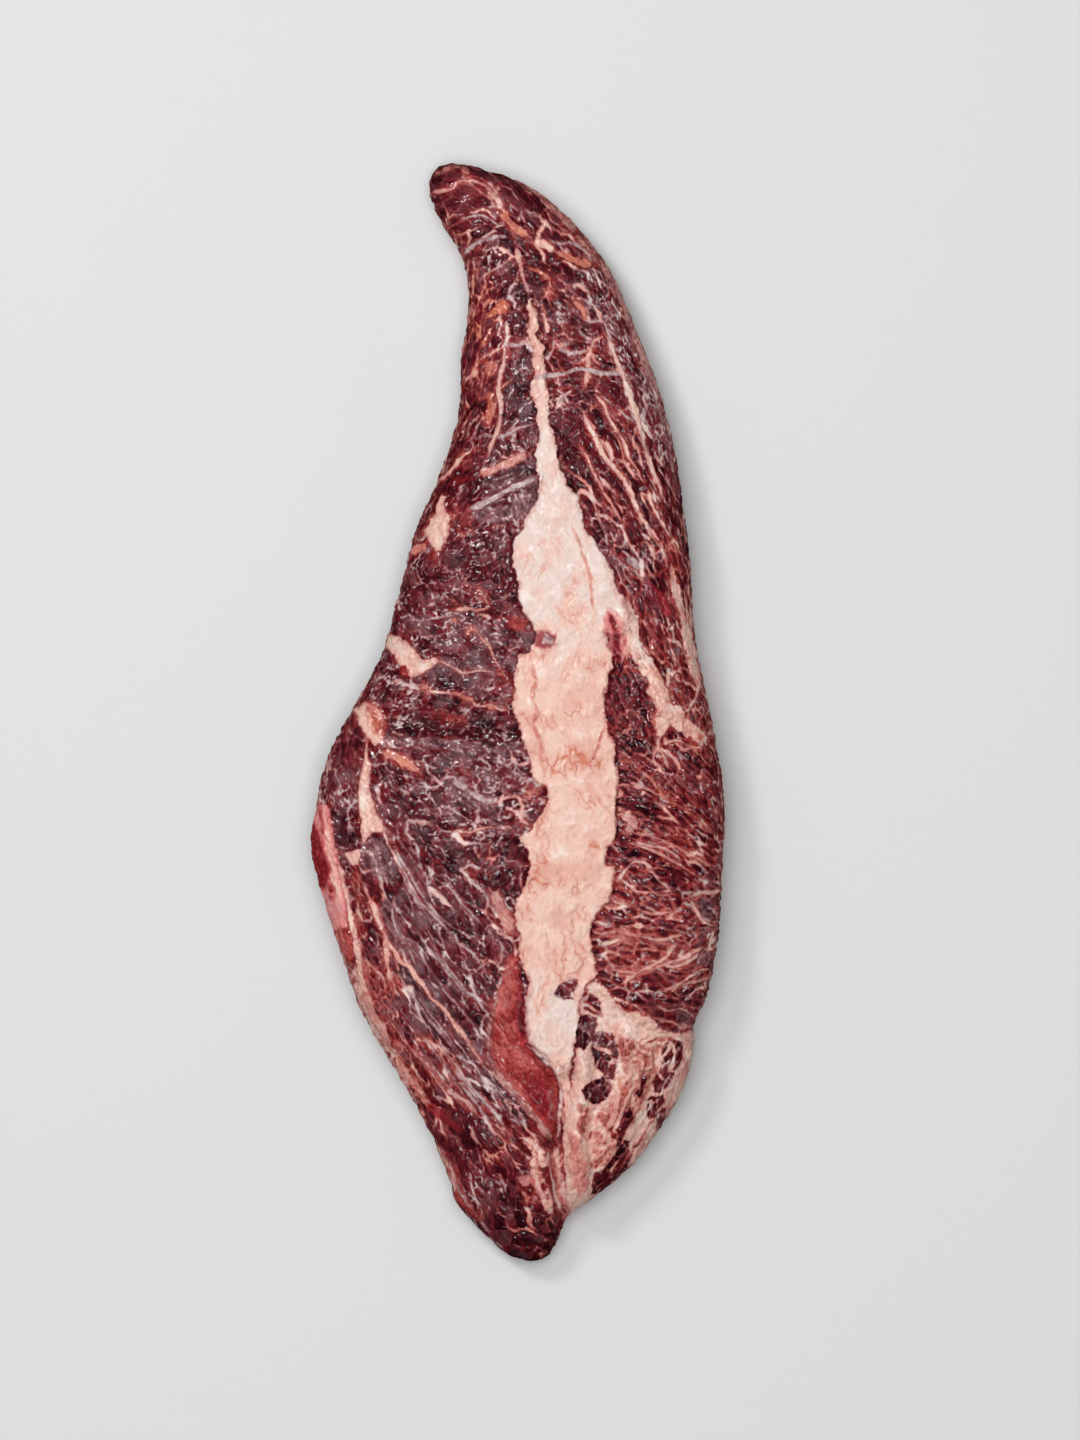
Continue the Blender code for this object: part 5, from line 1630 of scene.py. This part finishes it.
@dataclass(frozen=True)
class WetBeef:
    """Raw beef, cut and left wet: dark red lean, purple where film covers it, and pale pink fat.

    Myoglobin makes the lean a deep blue-red, and brick red where it lies thin over fat. Fat goes from a red
    haze through salmon to cream as it gets thicker; over film it is grey and beside blood it is orange.
    Juice on top makes it shine in small sharp lights, so roughness is low and the surface has fine bumps.
    mottle is the size of the finest blotches and bump_height how high they stand, in mm. stir is how far
    they shift each quality. Between the two shares in fat_shows, lean turns to fat.
    """

    cool_lean: Stops = (
        (0.0, "1C080E"), (0.25, "3C121C"), (0.5, "5C2129"), (0.75, "804248"), (1.0, "A87478"),
    )
    warm_lean: Stops = (
        (0.0, "26070A"), (0.25, "4E0F16"), (0.5, "761D21"), (0.75, "A03F3B"), (1.0, "C87068"),
    )
    grey_fat: Stops = (
        (0.0, "5A2228"), (0.3, "8C5A5E"), (0.6, "BFA3A3"), (0.85, "E2D0CA"), (1.0, "F3E6DF"),
    )
    pink_fat: Stops = (
        (0.0, "6E1F1C"), (0.3, "AE524A"), (0.6, "D8958A"), (0.85, "F0C6B5"), (1.0, "FADBCE"),
    )
    orange_fat: Stops = (
        (0.0, "6E1F1C"), (0.3, "A8452F"), (0.6, "CA6C50"), (0.85, "DA8C70"), (1.0, "E6A488"),
    )
    film: str = "8A6A6F"
    film_cover: float = 0.68
    blood: str = "FF98B2"
    fat_shows: tuple[float, float] = (0.06, 0.46)
    mottle: float = 0.9
    stir: tuple[tuple[str, float], ...] = (("tone", 0.30), ("warm", 0.22), ("fat", 0.12), ("blush", 0.30))
    roughness: tuple[float, float] = (0.12, 0.32)
    bump_strength: float = 0.5
    bump_height: float = 0.15
    ior: float = 1.38

    def ramp(self, tree: Tree, stops: Stops, share: Socket) -> Socket:
        """A colour ramp through the stops, read at a share."""
        node = add(tree, "ShaderNodeValToRGB", {"Fac": share})
        elements = node.color_ramp.elements
        while len(elements) < len(stops):
            elements.new(0.5)
        for element, (place, code) in zip(elements, stops):
            element.position = place
            element.color = linear(code)
        return node.outputs["Color"]

    def blend(self, tree: Tree, share: Socket, under: Socket, over: Shade, kind: str = "MIX") -> Socket:
        """The colour over laid on the colour under, by a share."""
        inputs = {0: share, 6: under, 7: over}
        return add(tree, "ShaderNodeMix", inputs, data_type="RGBA", blend_type=kind).outputs[2]

    def between(self, tree: Tree, value: Socket, low: float, high: float, top: float = 1.0) -> Socket:
        """0 where the value is low, top where it is high, and smooth between."""
        inputs = {"Value": value, 1: low, 2: high, 4: top}
        return add(tree, "ShaderNodeMapRange", inputs, interpolation_type="SMOOTHSTEP").outputs[0]

    def make(self) -> bpy.types.Material:
        """Builds the material, which reads the slab's own attributes."""
        material = bpy.data.materials.new("wet_raw_beef")
        material.use_nodes = True
        tree = material.node_tree
        surface = tree.nodes["Principled BSDF"]
        place = add(tree, "ShaderNodeTexCoord").outputs["Object"]
        read = {
            name: add(tree, "ShaderNodeAttribute", attribute_name=name).outputs["Fac"]
            for name in ("fat", "warm", "film", "tone", "blush", "blood")
        }
        waves = {"Vector": place, "Scale": 1.0 / (self.mottle * MM), "Detail": 3.0}
        mottle = add(tree, "ShaderNodeTexNoise", waves).outputs["Fac"]
        stirred = {}
        for name, amount in self.stir:
            shift = {0: mottle, 1: amount, 2: -amount / 2}
            lift = add(tree, "ShaderNodeMath", shift, operation="MULTIPLY_ADD").outputs[0]
            stirred[name] = add(tree, "ShaderNodeMath", {0: read[name], 1: lift}, operation="ADD").outputs[0]
        cool, warm = (self.ramp(tree, stops, stirred["tone"]) for stops in (self.cool_lean, self.warm_lean))
        lean = self.blend(tree, stirred["blush"], cool, warm)
        film = self.between(tree, read["film"], 0.0, 1.0, self.film_cover)
        lean = self.blend(tree, film, lean, linear(self.film))
        fats = (self.grey_fat, self.pink_fat, self.orange_fat)
        grey, pink, orange = (self.ramp(tree, stops, stirred["fat"]) for stops in fats)
        fat = self.blend(tree, self.between(tree, stirred["warm"], 0.0, 0.5), grey, pink)
        fat = self.blend(tree, self.between(tree, stirred["warm"], 0.5, 1.0), fat, orange)
        colour = self.blend(tree, self.between(tree, stirred["fat"], *self.fat_shows), lean, fat)
        colour = self.blend(tree, read["blood"], colour, linear(self.blood), "MULTIPLY")
        shine = {"Value": read["fat"], "To Min": self.roughness[0], "To Max": self.roughness[1]}
        rough = add(tree, "ShaderNodeMapRange", shine)
        rise = {"Height": mottle, "Strength": self.bump_strength, "Distance": self.bump_height * MM}
        bump = add(tree, "ShaderNodeBump", rise)
        tree.links.new(colour, surface.inputs["Base Color"])
        tree.links.new(rough.outputs[0], surface.inputs["Roughness"])
        tree.links.new(bump.outputs[0], surface.inputs["Normal"])
        surface.inputs["IOR"].default_value = self.ior
        surface.inputs["Metallic"].default_value = 0.0
        return material


@dataclass
class ShortRib:
    """The whole cut: the slab with its marbling and anatomy, in lengths that meet without a mark.

    box holds the CAD solid's corners in metres. inset lowers the skin, and clearance is the least distance
    from the box, in mm. The rest lays out a length's map: bands of skin beside one of foot, in columns and
    rows of cells, each with a gutter and as high as band_height, and a wavy line above them for its walls.
    """

    box: tuple[Array, Array]
    slab: Slab = field(default_factory=Slab)
    lengths: int = 10
    inset: float = 0.20
    clearance: float = 0.01
    bands: int = 5
    map_columns: int = 3
    map_rows: int = 2
    gutter: float = 0.006
    band_height: float = 0.97
    wall_margin: float = 0.02
    wall_line: float = 0.990
    wall_wave: float = 0.004
    full_turn: float = 6.283

    CHANNELS = ("fat", "warm", "film", "tone", "blush", "blood")

    def shape(self) -> tuple[Array, dict[str, Array]]:
        """Works out every point of the surface, in mm, and what lies there."""
        points, rolled, up = self.slab.grid()
        x, y = points[..., 0].astype(np.float32), points[..., 1].astype(np.float32)
        look = Marbling(GrainField()).read(rolled)
        log.info("wove the marbling")
        flat_x, flat_y = rolled[..., 0].astype(np.float32), rolled[..., 1].astype(np.float32)
        # What is painted from above fades out under the widest line, along a border that wanders
        over = smooth_step((up[None, :] + 0.10 * Ripple(86)(flat_x, flat_y, 4.0)) / 0.4 + 1.1)
        over = over.astype(np.float32)
        seam = Anatomy().paint(x, y, look, over)
        self.knead_fat(x, y, look, over)
        self.pale_skin_and_rim_light(flat_x, flat_y, up, look)
        log.info("painted the anatomy")
        points[..., 2] += self.slab.relief(x, y, seam) * smooth_step(up / 0.6)[None, :]
        normal = self.normals(points)
        height = look.pop("height") + look.pop("lift") - self.inset
        ends = np.minimum(np.arange(len(points)), np.arange(len(points))[::-1])
        height = height * smooth_step(ends / self.slab.end_rows)[:, None]
        foot = np.arange(points.shape[1]) > self.slab.skin_columns
        height[:, foot] = np.minimum(height[:, foot], 0.0)
        points = points + normal * height[..., None]
        low, high = (np.array(corner) / MM for corner in self.box)
        return np.clip(points, low + self.clearance, high - self.clearance), look

    def pale_skin_and_rim_light(self, flat_x: Array, flat_y: Array, up: Array, look: dict[str, Array]) -> None:
        """Draws scraps of thin pale skin along the widest line, and a painted rim light there.

        The line is exp(-((height share - 0.12) / 0.16)^2), bent by waves. It is read on the rolled-out skin,
        so that nothing is drawn out where the side is steep.

        Args:
            flat_x: places on the rolled-out skin, in mm.
            flat_y: places on the rolled-out skin, in mm.
            up: each column's share of height over the waist.
            look: what lies at each place already; it is changed.
        """
        wander = up[None, :] + 0.16 * Ripple(80)(flat_x, flat_y, 6.0) + 0.08 * Ripple(84)(flat_x, flat_y, 2.2)
        line = np.exp(-(((wander - 0.12) / 0.16) ** 2)) * (up[None, :] > -0.4)
        patchy = 0.45 + 0.9 * Ripple(81)(flat_x, flat_y, 7.0) + 0.7 * Ripple(82)(flat_x, flat_y, 2.0)
        # Hardly any along the middle of the right side
        bare = 0.7 * (flat_x > 40.0) * np.exp(-(((flat_y + 42.0) / 34.0) ** 2))
        patchy = smooth_step(patchy) * (1.0 - bare)
        soft = line * (1.0 - look["fat"]) * (1.0 - look["blood"])
        # Painted rim light: the lean is painted lighter along the widest line, where the side turns from the
        # light
        look["tone"] = np.clip(look["tone"] + 0.22 * soft, 0.0, 1.0)
        look["fat"] += soft * (0.12 + 0.46 * patchy)
        look["warm"] += (0.40 - look["warm"]) * line * 0.7

    def knead_fat(self, x: Array, y: Array, look: dict[str, Array], over: Array) -> None:
        """Gives thick fat its lumps, pink blotches, orange creases with a stain round them, and painted
        sheen.

        Lumps are waves of about 9, 5 and 2 mm. A crease is the line where another wave, drawn out along the
        slab, crosses zero.

        Args:
            x, y: places, in mm.
            look: what lies at each place already; it is changed.
            over: how far each place faces up, from 0 to 1.
        """
        hard = smooth_step((look["fat"] - 0.70) / 0.15) * over
        stir_x, stir_y = 1.6 * Ripple(71)(x, y, 3.0), 1.6 * Ripple(72)(x, y, 3.0)
        sway = 5.0 * Ripple(78)(x, y, 13.0) + 0.25 * y
        lump = Ripple(73)(x + stir_x, y + stir_y, 4.6)
        small = Ripple(74)(x - stir_y, y + stir_x, 1.8)
        fibre = Ripple(79)(x + sway, 0.30 * y, 0.8)
        along = np.abs(Ripple(75)(x + sway + 0.6 * stir_x, 0.30 * y + 0.4 * stir_y, 4.4))
        aslant = np.abs(Ripple(83)(0.8 * x + 0.8 * stir_y, 0.7 * y + 0.6 * x + 0.8 * stir_x, 6.0))
        line = np.minimum(along, 2.0 * aslant)
        often = smooth_step(0.36 + 1.5 * Ripple(76)(x, y, 11.0))
        crease = np.exp(-((line / 0.05) ** 2)) * smooth_step(1.5 * often - 0.2)
        stain = np.exp(-((line / 0.30) ** 2)) * often
        blotch = smooth_step(0.42 + 1.1 * Ripple(77)(x, y, 9.0) + 0.3 * small)
        # Painted sheen: the fat is painted paler and less orange on the tops of the lumps, most where they
        # stand highest
        painted_sheen = smooth_step((0.5 * small + 0.9 * lump - 0.25) / 0.6)
        look["warm"] += hard * (0.22 * blotch + 0.24 * crease + 0.14 * stain - 0.10 * painted_sheen - 0.08)
        look["fat"] += hard * (
            0.10 * painted_sheen + 0.04 * lump + 0.05 * fibre - 0.06 * blotch - 0.09 * crease - 0.05 * stain
        )
        look["warm"] = np.clip(look["warm"], 0.20 * hard, 1.0)
        look["fat"] = np.clip(look["fat"], 0.0, 1.0)
        relief = 0.30 * Ripple(85)(x, y, 9.0) + 0.28 * lump + 0.13 * small + 0.05 * fibre
        relief = relief - 0.20 * crease - 0.34
        look["height"] = look["height"] * (1.0 - hard) + hard * relief

    @staticmethod
    def normals(points: Array) -> Array:
        """Outward unit normals of a grid that closes on itself across and is open along.

        Each is the cross product of the steps to its neighbours across and along.
        """
        across = np.roll(points, -1, axis=1) - np.roll(points, 1, axis=1)
        along = np.gradient(points, axis=0)
        normal = np.cross(across, along)
        return normal / np.maximum(np.linalg.norm(normal, axis=2, keepdims=True), 1e-9)

    def build(self, material: bpy.types.Material) -> list[bpy.types.Object]:
        """Builds every length, from the tail to the tip."""
        points, look = self.shape()
        normal = self.normals(points)
        cuts = np.linspace(0, len(points) - 1, self.lengths + 1).astype(int)
        made = []
        for k in range(self.lengths):
            made.append(self.length(k, points, normal, look, cuts[k], cuts[k + 1]))
            made[-1].data.materials.append(material)
            log.info("built %s: %d faces", made[-1].name, len(made[-1].data.polygons))
        return made

    def length(
        self, number: int, points: Array, normal: Array, look: dict[str, Array], first: int, last: int
    ) -> bpy.types.Object:
        """One length as a closed mesh: a tube of quads, with a flat wall or the slab's own end at each mouth.

        Args:
            number: which length it is, from 0.
            points: the whole surface, in mm.
            normal: its normals.
            look: what lies at each point.
            first: the length's first row.
            last: its last row, where the next length begins.

        Returns:
            The length.
        """
        around = points.shape[1]
        span = last - first + 1
        rows = slice(first, last + 1)
        place = points[rows].reshape(-1, 3)
        facing = normal[rows].reshape(-1, 3)
        row, column = np.divmod(np.arange((span - 1) * around), around)
        beside = (column + 1) % around
        here, above = row * around, (row + 1) * around
        quads = np.stack([here + column, here + beside, above + beside, above + column], 1)
        ring = np.arange(around)
        tail = (ring[::-1], first == 0, self.slab.tail_end, -1.0)
        tip = (ring + (span - 1) * around, last == len(points) - 1, self.slab.tip_end, 1.0)
        extra_points, extra_facing, caps, walls = [], [], [], []
        for mouth, ends_here, end, way in (tail, tip):
            if ends_here:
                pole = len(place) + len(extra_points)
                extra_points.append((*end, self.slab.end_height))
                extra_facing.append((0.0, way, 0.0))
                caps.extend(np.stack([mouth, np.roll(mouth, -1), np.full(around, pole)], 1).tolist())
                walls.extend([0.0] * around)
            else:
                caps.append(mouth.tolist())
                walls.append(way)
        place = np.concatenate([place, np.array(extra_points).reshape(-1, 3)])
        facing = np.concatenate([facing, np.array(extra_facing).reshape(-1, 3)])
        corners = np.concatenate([quads.ravel(), *[np.array(cap) for cap in caps]]).astype(np.int32)
        sizes = np.concatenate([np.full(len(quads), 4), [len(cap) for cap in caps]]).astype(np.int32)
        mesh = self.fill_mesh(f"short_rib_length_{number + 1}", place, corners, sizes)
        self.lay_flat(mesh, row, column, span)
        for name in self.CHANNELS:
            values = np.zeros(len(place), np.float32)
            values[: span * around] = look[name][rows].ravel()
            mesh.attributes.new(name, "FLOAT", "POINT").data.foreach_set("value", values)
        facing = facing[corners].astype(np.float32)
        start = quads.size
        for cap, way in zip(caps, walls):
            if way:
                facing[start : start + len(cap)] = (0.0, way, 0.0)
            start += len(cap)
        mesh.normals_split_custom_set(facing.tolist())
        piece = bpy.data.objects.new(mesh.name, mesh)
        bpy.context.scene.collection.objects.link(piece)
        return piece

    @staticmethod
    def fill_mesh(name: str, place: Array, corners: Array, sizes: Array) -> bpy.types.Mesh:
        """Fills a mesh with smooth faces.

        Args:
            name: the mesh's name.
            place: its points, in mm.
            corners: the points of all the faces, one face after another.
            sizes: how many corners each face has.

        Returns:
            The mesh.
        """
        mesh = bpy.data.meshes.new(name)
        mesh.vertices.add(len(place))
        mesh.vertices.foreach_set("co", (place * MM).astype(np.float32).ravel())
        mesh.loops.add(len(corners))
        mesh.loops.foreach_set("vertex_index", corners)
        mesh.polygons.add(len(sizes))
        starts = np.concatenate([[0], np.cumsum(sizes)[:-1]]).astype(np.int32)
        mesh.polygons.foreach_set("loop_start", starts)
        mesh.polygons.foreach_set("use_smooth", np.ones(len(sizes), bool))
        mesh.update(calc_edges=True)
        return mesh

    def lay_flat(self, mesh: bpy.types.Mesh, row: Array, column: Array, span: int) -> None:
        """Gives a length its map: bands of the skin and one of the foot, side by side in columns and rows.

        Args:
            mesh: the length's mesh, quads first.
            row: each quad's row.
            column: each quad's column.
            span: the length's rows of points.
        """
        skin = self.slab.skin_columns
        wide = int(np.ceil(skin / self.bands))
        band = np.where(column < skin, column // wide, self.bands)
        start = np.where(column < skin, band * wide, skin)
        reach = np.where(column < skin, wide, self.slab.foot_columns)
        offset = (column - start)[:, None] + np.array([0, 1, 1, 0])
        along = row[:, None] + np.array([0, 0, 1, 1])
        gutter = self.gutter
        cell_column, cell_row = (band % self.map_columns)[:, None], (band // self.map_columns)[:, None]
        u = (cell_column + gutter + (1 - 2 * gutter) * offset / reach[:, None]) / self.map_columns
        v = (cell_row + gutter + (self.band_height - 2 * gutter) * along / (span - 1)) / self.map_rows
        uv = np.zeros((len(mesh.loops), 2), np.float32)
        uv[: u.size] = np.stack([u.ravel(), v.ravel()], 1)
        rest = len(mesh.loops) - u.size
        share = np.arange(rest) / max(rest, 1)
        wall_u = self.wall_margin + (1 - 2 * self.wall_margin) * share
        wall_v = self.wall_line + self.wall_wave * np.sin(share * self.full_turn)
        uv[u.size :] = np.stack([wall_u, wall_v], 1)
        mesh.uv_layers.new(name="OFBake").data.foreach_set("uv", uv.ravel())


@dataclass(frozen=True)
class Lamp:
    """A square soft light that faces the middle of the slab."""

    name: str
    place: tuple[float, float, float]
    size: float
    power: float
    gloss: bool = True
    fill: bool = True


@dataclass(frozen=True)
class Studio:
    """A pale floor, soft light from overhead and from the upper left, and a camera straight above.

    The broad lights fill and give no gloss, as through a polarising filter, so that dark lean stays dark. The
    small ones give nothing but gloss: they draw the sharp lights on the wet bundles.
    """

    floor: str = "DEDEDE"
    floor_reach: float = 3.0
    floor_roughness: float = 0.6
    camera_height: float = 3.0
    camera_sees: float = 20.0
    frame_long: float = 0.4447
    frame_level: float = 0.010
    centre: Point = (0.0068, -0.0026)
    sensor: float = 36.0
    room: float = 0.15
    lamps: tuple[Lamp, ...] = (
        Lamp("overhead", (-0.10, 0.05, 2.2), 1.5, 36.0, gloss=False),
        Lamp("left", (-0.95, 1.05, 1.75), 0.5, 13.5, gloss=False),
        Lamp("glint_left", (-0.95, 1.05, 1.75), 0.20, 30.0, fill=False),
        Lamp("glint_right", (1.10, 0.50, 1.60), 0.16, 9.0, fill=False),
        Lamp("glint_high", (0.20, 0.60, 2.40), 0.12, 4.5, fill=False),
        Lamp("glint_near", (-0.40, -1.00, 1.90), 0.16, 9.0, fill=False),
    )

    def build(self) -> None:
        """Makes the floor, the lights and the camera."""
        scene = bpy.context.scene
        scene.view_settings.view_transform = "Standard"
        self.lay_floor()
        for lamp in self.lamps:
            self.hang(lamp)
        world = bpy.data.worlds.new("room")
        world.use_nodes = True
        world.node_tree.nodes["Background"].inputs["Color"].default_value = (1.0, 1.0, 1.0, 1.0)
        world.node_tree.nodes["Background"].inputs["Strength"].default_value = self.room
        world.cycles_visibility.glossy = False
        scene.world = world
        camera = bpy.data.cameras.new("camera")
        camera.sensor_width = self.sensor
        camera.lens = self.sensor * self.camera_height / self.frame_long
        camera.clip_end = self.camera_sees
        eye = bpy.data.objects.new("camera", camera)
        eye.location = (*self.centre, self.camera_height + self.frame_level)
        scene.collection.objects.link(eye)
        scene.camera = eye

    def lay_floor(self) -> None:
        """A wide flat sheet in a pale matt grey."""
        mesh = bpy.data.meshes.new("floor")
        far = self.floor_reach
        mesh.from_pydata([(-far, -far, 0), (far, -far, 0), (far, far, 0), (-far, far, 0)], [], [(0, 1, 2, 3)])
        floor = bpy.data.objects.new("floor", mesh)
        material = bpy.data.materials.new("pale_matt_floor")
        material.use_nodes = True
        surface = material.node_tree.nodes["Principled BSDF"]
        surface.inputs["Base Color"].default_value = linear(self.floor)
        surface.inputs["Roughness"].default_value = self.floor_roughness
        mesh.materials.append(material)
        floor.visible_glossy = False
        bpy.context.scene.collection.objects.link(floor)

    def hang(self, lamp: Lamp) -> None:
        """Hangs one light."""
        light = bpy.data.lights.new(lamp.name, "AREA")
        light.size = lamp.size
        light.energy = lamp.power
        holder = bpy.data.objects.new(lamp.name, light)
        holder.location = lamp.place
        holder.rotation_euler = (-Vector(lamp.place)).to_track_quat("-Z", "Y").to_euler()
        holder.visible_camera = False
        holder.visible_glossy = lamp.gloss
        holder.visible_diffuse = lamp.fill
        bpy.context.scene.collection.objects.link(holder)


def main() -> None:
    """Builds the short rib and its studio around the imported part."""
    logging.basicConfig(level=logging.INFO, format="%(message)s")
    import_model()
    Studio().build()
    rib = ShortRib(box=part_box("short_rib"))
    for piece in rib.build(WetBeef().make()):
        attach(piece, "root")
        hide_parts("short_rib")


if __name__ == "__main__":
    main()
